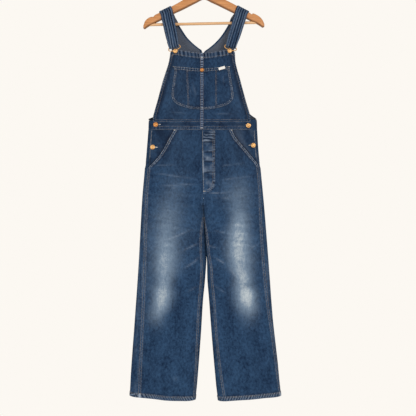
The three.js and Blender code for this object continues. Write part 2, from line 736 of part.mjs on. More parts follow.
// One half of the high back, from the waist seam to the tip under the strap
function highBack(side) {
  const table = side === 'left' ? BACK_LEFT : BACK_RIGHT;
  const top = table[0].z;
  const sign = side === 'left' ? -1 : 1;
  const brow = { left: -532, right: -529 };
  const heights = heightsBetween(top, WAIST_BOTTOM, 24, [
    -284, -527, brow[side] - 1, brow[side] - 4,
  ]);
  const geometry = wall(heights, steps(12), CLOTH, (u, z, lift) => {
    const shape = section(side, z);
    const neck = along(table, 'z', 'neck', z);
    const middle = z < -284 ? along(INNER, 'z', side, z) * smooth(-284, -400, z) : 0;
    const inside = z < -284 ? middle + sign * GAP / 2 : neck;
    const arm = along(table, 'z', 'arm', z);
    const innerInset = (shape.outer - inside) * shape.sign;
    const from = 6 - turnAcross(shape, innerInset);
    const wrap = z <= brow[side] - 4 ? turnAtInset(shape, BIB_EDGE_BEHIND + 14) : 0;
    const armTurn = 6 - turnAcross(shape, (shape.outer - arm) * shape.sign);
    const to = z <= brow[side] - 1 ? 6 + wrap : armTurn;
    const s = turnByLength(shape, from, to, u);
    const sunk = smooth(-520, brow[side] - 2, z);
    const under = sunk * EXTENSION_DROP * smooth(5.8, 6.25, s);
    return skin(side, z, s, lift - under);
  });
  add(`back_high_${side}`, geometry, cloth(DENIM_INSIDE));
}

function turnAcross(shape, inset) {
  const q = turnAtInset(shape, inset);
  if (q <= 2) return q;
  const past = Math.min((inset - SIDE_ROUND - shape.flat) / INNER_ROUND, 1);
  return Math.min(2 + Math.asin(past) / (Math.PI / 2), INNER_EDGE);
}

// A strap as rows of centre point, direction across and width
function strapRows(strap) {
  const rows = [];
  const slope = THREE.MathUtils.degToRad(strap.slope);
  const barTilt = THREE.MathUtils.degToRad(strap.barTilt);
  const backTilt = THREE.MathUtils.degToRad(strap.backTilt);
  const loop = WIRE_RADIUS + 2 * GAP + STRAP_CLOTH;
  const [barX, barZ] = strap.bar;
  const upX = -Math.sin(barTilt);
  const upZ = Math.cos(barTilt);
  const armTop = along(WOOD, 'x', 'top', strap.shoulderX);
  const archX = strap.shoulderX + Math.sin(slope) * WOOD_HALF_THICKNESS;
  const archZ = armTop - Math.cos(slope) * WOOD_HALF_THICKNESS;
  const arch = WOOD_HALF_THICKNESS + 1.1 + STRAP_CLOTH;
  const push = (x, y, z, tilt, width) => rows.push({ x, y, z, tilt, width });
  push(barX + upX * STRAP_TAIL, BAR_DEPTH + loop + 1.5, barZ + upZ * STRAP_TAIL, barTilt, STRAP_WIDTH_END);
  push(barX + upX * 10, BAR_DEPTH + loop + 0.4, barZ + upZ * 10, barTilt, STRAP_WIDTH_END);
  for (let i = 0; i <= 6; i += 1) {
    const angle = Math.PI * i / 6;
    const out = loop * Math.cos(angle);
    const down = loop * Math.sin(angle);
    push(barX - upX * down, BAR_DEPTH + out, barZ - upZ * down, barTilt, STRAP_WIDTH_END);
  }
  const frontTop = [archX, -arch, archZ];
  const start = [barX, BAR_DEPTH - loop, barZ];
  for (const t of [0.12, 0.28, 0.46, 0.64, 0.82, 1]) {
    const ease = smooth(0.55, 1, t);
    const widen = smooth(0, 0.4, t);
    const width = STRAP_WIDTH_END + (STRAP_WIDTH_MID - STRAP_WIDTH_END) * widen
      + (STRAP_WIDTH_TOP - STRAP_WIDTH_MID) * ease;
    push(
      start[0] + (frontTop[0] - start[0]) * t,
      start[1] + (frontTop[1] - start[1]) * Math.min(1, t * 1.15),
      start[2] + (frontTop[2] - start[2]) * t,
      barTilt * (1 - ease) + slope * ease,
      width,
    );
  }
  for (let i = 1; i <= 9; i += 1) {
    const angle = Math.PI * i / 10;
    const lift = arch * squared(Math.sin(angle));
    const y = -arch * squared(Math.cos(angle));
    push(archX - Math.sin(slope) * lift, y, archZ + Math.cos(slope) * lift, slope, STRAP_WIDTH_TOP);
  }
  const [tipX, tipZ] = strap.back;
  const [endX, endZ] = strap.backEnd;
  const depthAt = (x, z) => skinAt(x, z, GAP + STRAP_CLOTH + 1.8, true).y;
  push(archX, arch, archZ, slope, STRAP_WIDTH_TOP);
  push((archX + tipX) / 2, Math.max(arch, depthAt(tipX, tipZ)) + 0.3, (archZ + tipZ) / 2, (slope + backTilt) / 2, STRAP_WIDTH_MID);
  push(tipX, depthAt(tipX, tipZ), tipZ, backTilt, STRAP_WIDTH_MID);
  push((tipX + endX) / 2, depthAt((tipX + endX) / 2, (tipZ + endZ) / 2), (tipZ + endZ) / 2, backTilt, STRAP_WIDTH_MID);
  push(endX, depthAt(endX, endZ), endZ, backTilt, STRAP_WIDTH_MID);
  return rows;
}

function ribbon(rows, thickness, columns) {
  const centres = rows.map((row) => new THREE.Vector3(row.x, row.y, row.z));
  const across = rows.map((row) => new THREE.Vector3(Math.cos(row.tilt), 0, Math.sin(row.tilt)));
  const normals = rows.map((row, i) => {
    const before = centres[Math.max(i - 1, 0)];
    const after = centres[Math.min(i + 1, rows.length - 1)];
    const forward = after.clone().sub(before);
    return across[i].clone().cross(forward).normalize();
  });
  const grid = (depth) => rows.map((row, i) => columns.map((u) => centres[i].clone()
    .addScaledVector(across[i], (u - 0.5) * row.width)
    .addScaledVector(normals[i], -depth)));
  return wallBetween(grid(0), grid(thickness));
}

function strap(side) {
  add(`strap_${side}`, ribbon(strapRows(STRAPS[side]), STRAP_CLOTH, steps(3)), cloth(DENIM));
}

// Bent wire that the strap turns round, with a keyhole for the button's neck
function buckle(side) {
  const { bar, barTilt } = STRAPS[side];
  const tilt = THREE.MathUtils.degToRad(barTilt);
  const place = BIB_BUTTONS.find((item) => item.name.endsWith(side));
  const low = skinAt(place.x, place.z, WIRE_RADIUS + GAP + 0.2).y;
  const mid = (BAR_DEPTH + low) / 2;
  const half = [
    { across: 0.5, down: 0, y: BAR_DEPTH },
    { across: 14, down: 0, y: BAR_DEPTH },
    { across: 19.5, down: 0.8, y: BAR_DEPTH },
    { across: 21.6, down: 4.5, y: mid },
    { across: 20.8, down: 8.5, y: mid },
    { across: 15.5, down: 11, y: low },
    { across: 8, down: 13, y: low },
    { across: 5.4, down: 17, y: low },
  ];
  const other = half.map((row) => ({ ...row, across: -row.across })).reverse();
  const outline = [...half, { across: 0, down: 22, y: low }, ...other];
  const points = outline.map((row) => new THREE.Vector3(
    bar[0] + row.across * Math.cos(tilt) + row.down * Math.sin(tilt),
    row.y,
    bar[1] + row.across * Math.sin(tilt) - row.down * Math.cos(tilt),
  ));
  add(`buckle_${side}`, wireAlong(points, WIRE_RADIUS, 6, 40), metal(BRASS));
}

function wireAlong(points, radius, sides, count) {
  const circle = new THREE.Shape();
  for (let i = 0; i < sides; i += 1) {
    const angle = 2 * Math.PI * i / sides;
    const place = [radius * Math.cos(angle), radius * Math.sin(angle)];
    if (i === 0) circle.moveTo(...place);
    else circle.lineTo(...place);
  }
  const path = new THREE.CatmullRomCurve3(points, false, 'centripetal');
  const geometry = new THREE.ExtrudeGeometry(circle, { steps: count, extrudePath: path, curveSegments: 1 });
  return positionsOnly(geometry);
}

function positionsOnly(geometry) {
  geometry.deleteAttribute('normal');
  geometry.deleteAttribute('uv');
  return facingOut(mergeVertices(geometry, 1e-4));
}

// Sewn-on button: a domed disc with a raised rim on a short neck, turned about Y
function button(name, x, z, radius, seat, material, neck = 1.6) {
  const rim = 2.6;
  const profile = [
    [0, 0], [2.6, 0], [2.6, neck], [radius - 1, neck], [radius, neck + 0.8],
    [radius - 0.4, neck + rim - 0.4], [radius - 1.4, neck + rim],
    [radius - 2.4, neck + rim - 0.5], [radius * 0.45, neck + rim + 0.2], [0, neck + rim + 0.5],
  ].map(([r, h]) => new THREE.Vector2(r, h));
  const geometry = positionsOnly(new THREE.LatheGeometry(profile, 12));
  const mesh = add(name, geometry, material);
  mesh.rotation.x = Math.PI;
  mesh.position.set(x, seat - GAP, z);
}

function buttons() {
  for (const item of BIB_BUTTONS) {
    const seat = skinAt(item.x, item.z, 0).y;
    button(item.name, item.x, item.z, item.radius, seat, metal(BRASS), 3.4);
  }
  for (const item of SIDE_BUTTONS) {
    const level = item.z > WAIST_BOTTOM ? 0 : -FACING_DROP;
    const seat = skinAt(item.x, item.z, level).y;
    const edge = skinAt(item.x + Math.sign(-item.x) * 2.6, item.z, level).y;
    button(item.name, item.x, item.z, SIDE_BUTTON_RADIUS, Math.min(seat, edge), metal(BRASS), 3.6);
  }
  const seat = skinAt(POCKET_BUTTON.x, POCKET_BUTTON.z, POCKET_LIFT + CLOTH + 2 * GAP + 1).y;
  button('button_pocket', POCKET_BUTTON.x, POCKET_BUTTON.z, POCKET_BUTTON.radius, seat, metal(COPPER), 0.6);
}

// A share of a circle's reach, pushed out so that the circle becomes a rounded square
function squared(share) {
  return Math.sign(share) * Math.abs(share) ** WOOD_SQUARE;
}

// Wood of the hanger: rings with rounded edges, one for each row of its table
function hangerWood() {
  const ringAt = (row) => {
    const half = (row.top - row.low) / 2;
    const middle = (row.top + row.low) / 2;
    const tip = Math.abs(row.x) > 210 ? 0.72 : 1;
    return Array.from({ length: WOOD_RING }, (_, i) => {
      const angle = 2 * Math.PI * (i + 0.5) / WOOD_RING;
      const c = squared(Math.cos(angle));
      const s = squared(Math.sin(angle));
      const round = Math.min(WOOD_HALF_THICKNESS, half);
      const z = middle + (half - round) * Math.sign(s) + round * s;
      return new THREE.Vector3(row.x, WOOD_HALF_THICKNESS * tip * c, z);
    });
  };
  const positions = [];
  const index = [];
  WOOD.map(ringAt).forEach((ring) => ring.forEach((p) => positions.push(p.x, p.y, p.z)));
  const last = WOOD.length - 1;
  for (let r = 0; r < last; r += 1) {
    for (let i = 0; i < WOOD_RING; i += 1) {
      const a = r * WOOD_RING + i;
      const b = r * WOOD_RING + (i + 1) % WOOD_RING;
      index.push(a, b, b + WOOD_RING, a, b + WOOD_RING, a + WOOD_RING);
    }
  }
  for (const [r, flip] of [[0, 1], [last, 0]]) {
    const base = r * WOOD_RING;
    for (let i = 1; i < WOOD_RING - 1; i += 1) {
      const pair = flip ? [base + i + 1, base + i] : [base + i, base + i + 1];
      index.push(base, ...pair);
    }
  }
  const geometry = new THREE.BufferGeometry();
  geometry.setAttribute('position', new THREE.Float32BufferAttribute(positions, 3));
  geometry.setIndex(index);
  return facingOut(geometry);
}

function solidOf(geometry) {
  const vertProperties = new Float32Array(geometry.getAttribute('position').array);
  const triVerts = new Uint32Array(geometry.getIndex().array);
  return new wasm.Manifold(new wasm.Mesh({ numProp: 3, vertProperties, triVerts }));
}

function geometryOf(solid) {
  const mesh = solid.getMesh();
  const geometry = new THREE.BufferGeometry();
  geometry.setAttribute('position', new THREE.Float32BufferAttribute(mesh.vertProperties, 3));
  geometry.setIndex(new THREE.Uint32BufferAttribute(mesh.triVerts, 1));
  return geometry;
}

function rodGeometry(radius, from, to) {
  const start = new THREE.Vector3(from[0], 0, from[1]);
  const end = new THREE.Vector3(to[0], 0, to[1]);
  const length = start.distanceTo(end);
  const geometry = new THREE.CylinderGeometry(radius, radius, length, 16);
  const direction = end.clone().sub(start).normalize();
  const turn = new THREE.Quaternion().setFromUnitVectors(new THREE.Vector3(0, 1, 0), direction);
  geometry.applyQuaternion(turn);
  const middle = start.add(end).multiplyScalar(0.5);
  geometry.translate(middle.x, middle.y, middle.z);
  return positionsOnly(geometry);
}

function hanger() {
  const socket = [];
  const reach = { from: [ROD.left[0] - GAP, ROD.left[1]], to: [ROD.right[0] + GAP, ROD.right[1]] };
  socket.push(solidOf(rodGeometry(ROD.radius + GAP, reach.from, reach.to)));
  const shankHole = rodGeometry(HOOK.wire + GAP, [0, HOOK.shankTop], [0, HOOK.shankEnd - GAP]);
  socket.push(solidOf(shankHole));
  const body = socket.reduce((left, hole) => left.subtract(hole), solidOf(hangerWood()));
  add('hanger_wood', geometryOf(body), wood(BEECH));
  add('hanger_bar', rodGeometry(ROD.radius, ROD.left, ROD.right), wood(BEECH));
  hangerHook();
}

// Hook: a bent steel wire, open on one side of its curl, on a straight shank
function hangerHook() {
  const radius = HOOK.inner + HOOK.wire;
  const centreZ = -HOOK.inner;
  const points = [];
  const from = -35;
  const to = 215;
  const count = 12;
  for (let i = 0; i <= count; i += 1) {
    const angle = THREE.MathUtils.degToRad(from + (to - from) * i / count);
    points.push(new THREE.Vector3(-radius * Math.cos(angle), 0, centreZ + radius * Math.sin(angle)));
  }
  points.push(new THREE.Vector3(8, 0, HOOK.shankTop + 7));
  points.push(new THREE.Vector3(0.8, 0, HOOK.shankTop));
  points.push(new THREE.Vector3(0, 0, HOOK.shankTop - 8));
  points.push(new THREE.Vector3(0, 0, HOOK.shankEnd));
  add('hanger_hook', wireAlong(points, HOOK.wire, 8, 36), metal(STEEL));
}

for (const side of ['left', 'right']) {
  legFront(side);
  legBack(side);
  pocketFacing(side);
  bibHalf(side);
  highBack(side);
  strap(side);
  buckle(side);
}
waistband();
bibPocket();
centreStrip();
flyPlacket();
blankLabel();
buttons();
hanger();

export default garment;
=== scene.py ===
# Denim dungarees on a wooden hanger: the cloth, seams and metal in close detail.
# Surfaces are worked out in millimetres and turned into metres when a mesh is made.

import math

import bpy
import numpy as np
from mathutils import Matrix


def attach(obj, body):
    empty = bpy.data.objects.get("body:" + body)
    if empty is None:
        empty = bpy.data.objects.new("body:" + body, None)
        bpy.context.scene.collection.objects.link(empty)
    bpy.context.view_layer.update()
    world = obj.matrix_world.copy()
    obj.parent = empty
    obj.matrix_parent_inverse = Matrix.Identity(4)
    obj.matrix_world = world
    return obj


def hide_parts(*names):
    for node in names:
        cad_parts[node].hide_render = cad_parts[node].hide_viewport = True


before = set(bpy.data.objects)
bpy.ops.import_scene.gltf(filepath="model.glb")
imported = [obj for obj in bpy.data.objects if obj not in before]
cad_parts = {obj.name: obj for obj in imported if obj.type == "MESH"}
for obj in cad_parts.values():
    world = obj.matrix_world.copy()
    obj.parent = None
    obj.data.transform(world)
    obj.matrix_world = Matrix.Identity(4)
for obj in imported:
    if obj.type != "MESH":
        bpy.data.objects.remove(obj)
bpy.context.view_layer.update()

MM = 0.001

# Thicknesses and gaps
GAP = 0.3
CLOTH = 1.4
DOUBLE_CLOTH = 2.2
STRAP_CLOTH = 2.6
HEM_EXTRA = 1.0
FELL_RAISE = 0.8

# Heights of the main seams and edges
WAIST_TOP = -539.0
WAIST_BOTTOM = -571.5
OPENING_BOTTOM = -706.0
CROTCH_TOP = -811.0
CROTCH_BOTTOM = -872.0
HEM = -1530.0
HEM_DEPTH = 13.0
HEM_SWING = 150.0

# Widths and insets
SIDE_ROUND = 42.0
INNER_ROUND = 36.0
CROWN = 3.0
BIB_EDGE_BEHIND = 24.0
FACING_TUCK = 15.0
EXTENSION = 30.0
EXTENSION_DROP = 5.0
FACING_DROP = 2.5
POCKET_LIFT = 2.2
FELL_WIDTH = 12.0
LEG_PARTING = 0.3
LEG_LEAN = 0.3
LEAN_TOP = -1010.0
LEAN_LOW = -1075.0
INNER_EDGE = 2.9999
TURN_STEP = 0.004


def table(columns, rows):
    """Named columns as arrays."""
    return {name: np.array([row[i] for row in rows], float) for i, name in enumerate(columns.split())}


# Outline of the body and legs from the front, with the depth of front and back
BODY = table("z left right front back", [
    (-140, -150, 150, 14, 14),
    (-290, -146, 137, 20, 20),
    (-322, -150, 138, 20.5, 21),
    (-393, -171, 156, 22, 23),
    (-465, -189, 174, 24, 26),
    (-520, -199, 190, 25.5, 28),
    (-540, -201, 193, 26, 29),
    (-572, -202, 194, 27, 30),
    (-640, -207.3, 198.2, 29, 32),
    (-712, -213, 204.8, 30, 33),
    (-821, -222.3, 215.2, 30, 32),
    (-965, -230.4, 227.2, 27, 28),
    (-1109, -238.7, 238, 25, 25),
    (-1253, -249.1, 249.1, 23, 23),
    (-1397, -259.6, 265.3, 22, 22),
    (-1469, -264.2, 271.8, 22, 22),
    (-1545, -267.4, 279.5, 24, 24),
])

# Centre line above the crotch and the inner edge of each leg below it
INNER = table("z left right", [
    (-140, -6.6, -6.6),
    (-572, -6.4, -6.4),
    (-811, -1.8, -1.8),
    (-890, 3, 3),
    (-965, 6.4, 6.6),
    (-1030, 9.6, 10.6),
    (-1109, 4.7, 12.4),
    (-1181, -2.5, 18.4),
    (-1325, -11.5, 29.2),
    (-1469, -23, 42.5),
    (-1545, -31, 52.5),
])

# How far each seam lies forward of the garment's edge
SEAM_INSET = table("z left_outer right_outer left_inner right_inner", [
    (-700, 12.5, 8, 0, 0),
    (-790, 12.5, 9.5, 0, 0),
    (-872, 15, 13, 0, 0),
    (-960, 17, 15.5, 8, 7),
    (-1060, 19.5, 15.5, 10.5, 11),
    (-1180, 22.8, 12.2, 9.5, 13.5),
    (-1280, 25.5, 7, 9, 12.5),
    (-1400, 29, 4, 6, 14.5),
    (-1545, 32, 0.5, 3, 22),
])

# Slanted hip pocket openings
SLANT = table("z left right", [
    (-571.5, -105.4, 100.1),
    (-599, -121, 113.9),
    (-637, -142, 145),
    (-666, -160.5, 169.5),
    (-690, -182, 189.5),
    (-706, -199, 196.3),
])

# Side edges and top edge of the bib
BIB_SIDE = table("z left right", [
    (-283, -119.6, 111),
    (-322, -126, 113.8),
    (-393, -147.1, 132.1),
    (-465, -165.6, 150.2),
    (-522, -180.6, 166),
    (-539, -182, 167),
])
BIB_TOP = table("x z", [
    (-122, -297),
    (-112, -287),
    (-101, -283),
    (-86, -286),
    (-45, -292),
    (-3.4, -295.5),
    (40, -291.5),
    (76, -286),
    (92, -282.5),
    (104, -287),
    (114, -297),
])
BIB_HIGHEST = -283.0

# Front ends of the waistband
BAND_END = table("z left right", [(-539, -182, 167), (-571.5, -190.5, 172.4)])

# High back: neckline on the inside of each half and armhole on the outside
BACK_LEFT = table("z neck arm", [
    (-184, -92.7, -133),
    (-205.5, -78.1, -132),
    (-227, -63.6, -129),
    (-243.6, -49.1, -126),
    (-257, -34.6, -122.5),
    (-268.6, -20.1, -119),
    (-284, -0.3, -116),
    (-322, -0.3, -118),
    (-393, -0.9, -138),
    (-465, -2.6, -157),
    (-514, -3.6, -178),
    (-527, -3.9, -199.5),
])
BACK_RIGHT = table("z neck arm", [
    (-167.4, 97.8, 138),
    (-184, 89.3, 137),
    (-205.5, 76.5, 132),
    (-227, 61.5, 125),
    (-243.6, 47, 119),
    (-257, 33.5, 114.5),
    (-268.6, 19.5, 111.5),
    (-284, 0.3, 108),
    (-322, -0.1, 107),
    (-393, -0.7, 124),
    (-465, -2.4, 142),
    (-500, -3.2, 160),
    (-527, -3.7, 190),
])
BACK_BROW = {"left": -532.0, "right": -529.0}
NECK_POINT = -284.0

# Bib pocket: its mouth, and its sides down to the rounded bottom
POCKET_MOUTH = table("x z", [
    (-109, -344.5),
    (-60, -348.5),
    (-6.6, -352.5),
    (45, -348.5),
    (93, -344.5),
])
POCKET_SIDE = table("z left right", [
    (-344, -108, 92),
    (-362, -104, 93.5),
    (-400, -110, 99.5),
    (-446, -114.5, 106),
    (-460, -112.5, 104),
    (-472, -106, 97),
    (-482, -93, 84),
    (-490, -74, 63),
    (-495.5, -52, 40),
    (-498.5, -28, 15),
])
POCKET_BOTTOM = -498.5
POCKET_BAND = -357.0

HEM_LINE = table("x z", [
    (-263, -1523.5),
    (-220, -1526.5),
    (-176, -1530),
    (-134, -1535),
    (-80, -1537.5),
    (-20, -1537.5),
    (45, -1540.5),
    (91, -1537.5),
    (134, -1534),
    (177, -1531),
    (220, -1527),
    (276, -1523.5),
])

# Folds: a line, its half width, its height out of the cloth, and how worn its ridge is; a negative value is
# painted shade along a trough
FOLD_COLUMNS = "x1 z1 x2 z2 width height worn"
FRONT_FOLDS = table(FOLD_COLUMNS, [
    (-122, -1105, -124, -1262, 15, 3.2, 0),
    (-98, -1110, -101, -1262, 15, -2.6, 0),
    (-158, -969, -48, -931, 9, 1.6, 0.5),
    (-78, -1004, -19, -976, 9, 1.5, 0.45),
    (-72, -1065, -14, -1026, 9, 1.7, 0.45),
    (-165, -1150, -158, -1230, 26, 2.6, 0),
    (-198, -1400, -176, -1490, 16, -2.2, 0),
    (32, -929, 136, -950, 9, 1.6, 0.35),
    (36, -1022, 87, -1059, 9, 1.7, 0.45),
    (87, -1059, 130, -1111, 9, 1.7, 0.45),
    (139, -1138, 205, -1114, 9, -3, -0.7),
    (150, -1160, 152, -1220, 30, 3, 0),
    (80, -830, 80, -1176, 20, -2.2, -0.35),
    (122, -880, 132, -1090, 26, 2, 0),
    (60, -585, 66, -732, 12, -2, -0.4),
    (214, -1400, 190, -1500, 16, -2, -0.2),
    (-76, -380, -55, -452, 10, -2, -0.6),
    (-40, -400, -30, -460, 12, 1.6, 0.2),
])
FRONT_CREASES = table(FOLD_COLUMNS, [
    (9, -978, 45, -992, 6, 0.8, 0.4),
    (158, -999, 201, -971, 7, 0.8, 0.3),
    (6, -796, 98, -793, 5, 0.9, 0.4),
    (16, -814, 102, -814, 5, 0.9, 0.35),
    (-190, -693, -98, -700, 7, 0.9, 0.3),
    (-183, -725, -34, -743, 8, 0.9, 0.28),
    (-176, -771, -19, -764, 8, 0.9, 0.28),
    (-119, -782, -94, -775, 5, 0.7, 0.35),
    (40, -705, 150, -690, 8, 0.8, 0.25),
    (50, -752, 176, -735, 9, 0.8, 0.22),
    (-113, -1120, -110, -1241, 4, -1.2, -0.6),
    (88, -1090, 98, -1248, 9, -1.6, -0.4),
    (-215, -1312, -176, -1490, 9, -1.6, -0.35),
    (244, -1333, 222, -1483, 9, -1.6, -0.35),
    (-150, -1300, -140, -1500, 14, 1.5, 0),
    (120, -1300, 128, -1500, 14, 1.5, 0),
    (-60, -1300, -70, -1500, 12, -1.2, -0.15),
    (170, -1290, 180, -1470, 12, -1.2, -0.15),
    (-200, -1040, -150, -1022, 7, -0.9, -0.2),
    (-210, -1110, -160, -1130, 8, -1.0, -0.2),
    (30, -1120, 90, -1160, 8, 0.9, 0.2),
    (-60, -1150, -20, -1128, 8, 0.9, 0.2),
    (170, -870, 205, -850, 8, -0.8, -0.2),
    (-205, -880, -160, -858, 8, -0.8, -0.2),
    (-37, -314, -6, -341, 5, -0.8, -0.5),
    (30, -330, 2, -341, 5, -0.8, -0.4),
    (-54, -436, -48, -472, 6, -1.0, -0.5),
    (-66, -385, -44, -445, 5, 0.8, 0.35),
    (70, -380, 71, -409, 7, 0.6, 0.3),
    (-140, -410, -150, -500, 8, -0.9, -0.3),
    (124, -400, 138, -500, 8, -0.9, -0.3),
    (-60, -515, -120, -508, 7, 0.7, 0.2),
    (30, -512, 110, -516, 7, 0.7, 0.2),
    (-80, -600, -90, -680, 12, -0.9, -0.3),
    (61, -590, 63, -700, 7, -0.9, -0.35),
    (58, -700, 56, -845, 13, -1.2, -0.4),
])
BACK_FOLDS = table(FOLD_COLUMNS, [
    (-150, -850, -40, -880, 12, 2, 0.3),
    (40, -878, 150, -852, 12, 2, 0.3),
    (-190, -1150, -60, -1120, 12, -2.4, -0.4),
    (-200, -1190, -80, -1205, 12, 2.2, 0.35),
    (70, -1122, 200, -1152, 12, -2.4, -0.4),
    (90, -1208, 205, -1188, 12, 2.2, 0.35),
    (-110, -620, -100, -760, 24, 2.4, 0.1),
    (100, -620, 92, -760, 24, 2.4, 0.1),
    (-140, -1380, -128, -1500, 16, -2, -0.2),
    (150, -1380, 140, -1500, 16, -2, -0.2),
])
BACK_CREASES = table(FOLD_COLUMNS, [
    (-160, -812, -40, -838, 7, 1.0, 0.3),
    (44, -836, 160, -806, 7, 1.0, 0.3),
    (-180, -1100, -70, -1076, 8, 1.1, 0.3),
    (80, -1080, 190, -1104, 8, 1.1, 0.3),
    (-200, -1240, -90, -1232, 8, 1.0, 0.25),
    (86, -1236, 200, -1246, 8, 1.0, 0.25),
    (-120, -1300, -114, -1470, 12, 1.3, 0.1),
    (130, -1300, 124, -1470, 12, 1.3, 0.1),
    (-60, -330, -90, -480, 14, 1.2, 0.1),
    (62, -330, 84, -480, 14, 1.2, 0.1),
    (-20, -600, -26, -720, 10, -1.0, -0.2),
    (22, -610, 28, -716, 10, -1.0, -0.2),
])

# Faded bands down the front of each leg: centre, half width to either side, and how pale
FADE_LEFT = table("z centre left right pale", [
    (-730, -100, 50, 50, 0.02),
    (-778, -103, 45, 40, 0.1),
    (-835, -122, 45, 45, 0.17),
    (-893, -130, 40, 50, 0.27),
    (-950, -140, 32, 48, 0.39),
    (-1008, -141, 30, 46, 0.54),
    (-1066, -145, 28, 44, 0.55),
    (-1110, -143, 27, 30, 0.5),
    (-1130, -144, 30, 28, 0.58),
    (-1152, -148, 28, 32, 0.72),
    (-1181, -151, 28, 30, 0.7),
    (-1210, -156, 30, 28, 0.52),
    (-1238, -165, 32, 24, 0.28),
    (-1275, -165, 34, 26, 0.05),
    (-1310, -165, 34, 26, 0.0),
])
FADE_RIGHT = table("z centre left right pale", [
    (-720, 125, 50, 45, 0.02),
    (-778, 124, 50, 45, 0.15),
    (-806, 122, 45, 42, 0.22),
    (-850, 124, 34, 36, 0.26),
    (-893, 124, 28, 34, 0.48),
    (-922, 124, 34, 34, 0.6),
    (-950, 124, 35, 35, 0.72),
    (-1008, 122, 34, 40, 0.72),
    (-1037, 123, 32, 42, 0.69),
    (-1066, 128, 30, 38, 0.64),
    (-1094, 138, 26, 30, 0.76),
    (-1120, 141, 30, 30, 0.62),
    (-1138, 146, 32, 30, 0.76),
    (-1156, 153, 34, 28, 0.95),
    (-1181, 154, 34, 28, 0.84),
    (-1210, 158, 34, 30, 0.5),
    (-1238, 160, 32, 30, 0.17),
    (-1275, 160, 32, 30, 0.03),
    (-1310, 160, 32, 30, 0.0),
])

# Smaller pale patches: a line, its half width and how pale it is
FADE_COLUMNS = "x1 z1 x2 z2 width pale"
FRONT_PATCHES = table(FADE_COLUMNS, [
    (-101, -1450, -101, -1458, 9, 0.1),
    (-60, -930, -40, -960, 40, 0.03),
    (-194, -905, -194, -1150, 20, 0.05),
])
BACK_FADES = table(FADE_COLUMNS, [
    (-110, -700, -110, -820, 70, 0.22),
    (105, -700, 105, -820, 70, 0.22),
    (-130, -900, -134, -1100, 60, 0.14),
    (130, -900, 136, -1100, 60, 0.14),
    (-140, -1180, -142, -1240, 40, 0.22),
    (146, -1180, 148, -1240, 40, 0.22),
])

# Straps: shoulder on the hanger's arm, buckle bar in front, sewn end behind
STRAP_TAIL = 24.0
STRAPS = {
    "left": {"shoulder_x": -139, "slope": 26, "bar": (-106.5, -274.9), "bar_tilt": 18.8,
             "back": (-113, -187), "back_end": (-103, -222), "back_tilt": 26},
    "right": {"shoulder_x": 141, "slope": -27.5, "bar": (97, -273.7), "bar_tilt": -17.4,
              "back": (117, -172), "back_end": (106, -208), "back_tilt": -26},
}
STRAP_WIDTH_TOP = 46.0
STRAP_WIDTH_MID = 44.0
STRAP_WIDTH_END = 37.0
BAR_DEPTH = -25.0

# Buttons
BIB_BUTTONS = {"left": (-101.2, -290.6), "right": (92, -289.5)}
BIB_BUTTON_RADIUS = 8.0
SIDE_BUTTONS = {
    "button_side_left_upper": (-170.8, -553.3),
    "button_side_left_lower": (-181.8, -633.1),
    "button_side_right_upper": (158.7, -556.8),
    "button_side_right_lower": (176.1, -626.6),
}
SIDE_BUTTON_RADIUS = 8.5
POCKET_BUTTON = (-6.5, -358.7)
POCKET_BUTTON_RADIUS = 7.0
WIRE_RADIUS = 1.5

# Fly, centre strip and label
FLY_RIGHT = 41.0
FLY_STRAIGHT_TO = -757.0
FLY_BOTTOM = -800.0
STRIP_X = -7.0
STRIP_HALF = 6.0
STRIP_TOP = -297.5
STRIP_BOTTOM = -568.0
LABEL_PLACE = (64.1, -352.0)
LABEL_SIZE = (22.5, 9.6)
LABEL_TILT = 17.0

# Hanger: upper and lower edge of the wood from tip to tip
WOOD_HALF_THICKNESS = 10.0
WOOD = table("x top low", [
    (-217.5, -194, -203),
    (-213, -180.5, -205.5),
    (-205, -170.5, -200),
    (-196, -164.5, -194.5),
    (-187, -161.8, -190.5),
    (-182, -162, -188),
    (-176.5, -156, -185),
    (-164, -149.5, -178.5),
    (-135, -134.5, -164.5),
    (-106, -119.5, -149.4),
    (-77, -102.8, -136),
    (-48, -83, -121.3),
    (-26, -67.5, -110),
    (-12, -61.5, -102.5),
    (0, -60.5, -97.5),
    (12, -61, -101.5),
    (26, -66.5, -109),
    (48, -82, -119),
    (77, -100.5, -133.3),
    (103, -114, -146),
    (132, -130, -159),
    (160, -145, -172),
    (167, -149, -176),
    (171.5, -153, -178.5),
    (176.5, -149.5, -181),
    (189, -154.5, -186),
    (203, -164, -194.5),
    (212, -175, -200),
    (217.5, -188, -197),
])
ROD_RADIUS = 5.0
ROD_ENDS = ((-199.5, -190), (204.5, -181.6))
HOOK_INNER = 20.0
HOOK_WIRE = 2.0
HOOK_SHANK_TOP = -48.0
HOOK_SHANK_END = -74.0


def along(rows, key, column, at):
    """A smooth value between the rows of a table, keyed by one column."""
    keys = rows[key]
    values = rows[column]
    if keys[0] > keys[-1]:
        keys = keys[::-1]
        values = values[::-1]
    before = np.concatenate([keys[:1], keys[:-1]])
    after = np.concatenate([keys[1:], keys[-1:]])
    rise = np.concatenate([values[1:], values[-1:]]) - np.concatenate([values[:1], values[:-1]])
    slopes = rise / (after - before)
    at = np.clip(at, keys[0], keys[-1])
    i = np.clip(np.searchsorted(keys, at, side="right") - 1, 0, len(keys) - 2)
    span = keys[i + 1] - keys[i]
    t = (at - keys[i]) / span
    t2 = t * t
    t3 = t2 * t
    return ((2 * t3 - 3 * t2 + 1) * values[i] + (t3 - 2 * t2 + t) * span * slopes[i]
            + (3 * t2 - 2 * t3) * values[i + 1] + (t3 - t2) * span * slopes[i + 1])


def smooth(start, end, value):
    """A soft step from 0 at one value to 1 at another, rising or falling."""
    t = np.clip((value - start) / (end - start), 0, 1)
    return t * t * (3 - 2 * t)


NOISE_SIZE = 64
NOISE_OFFSET = 640.37


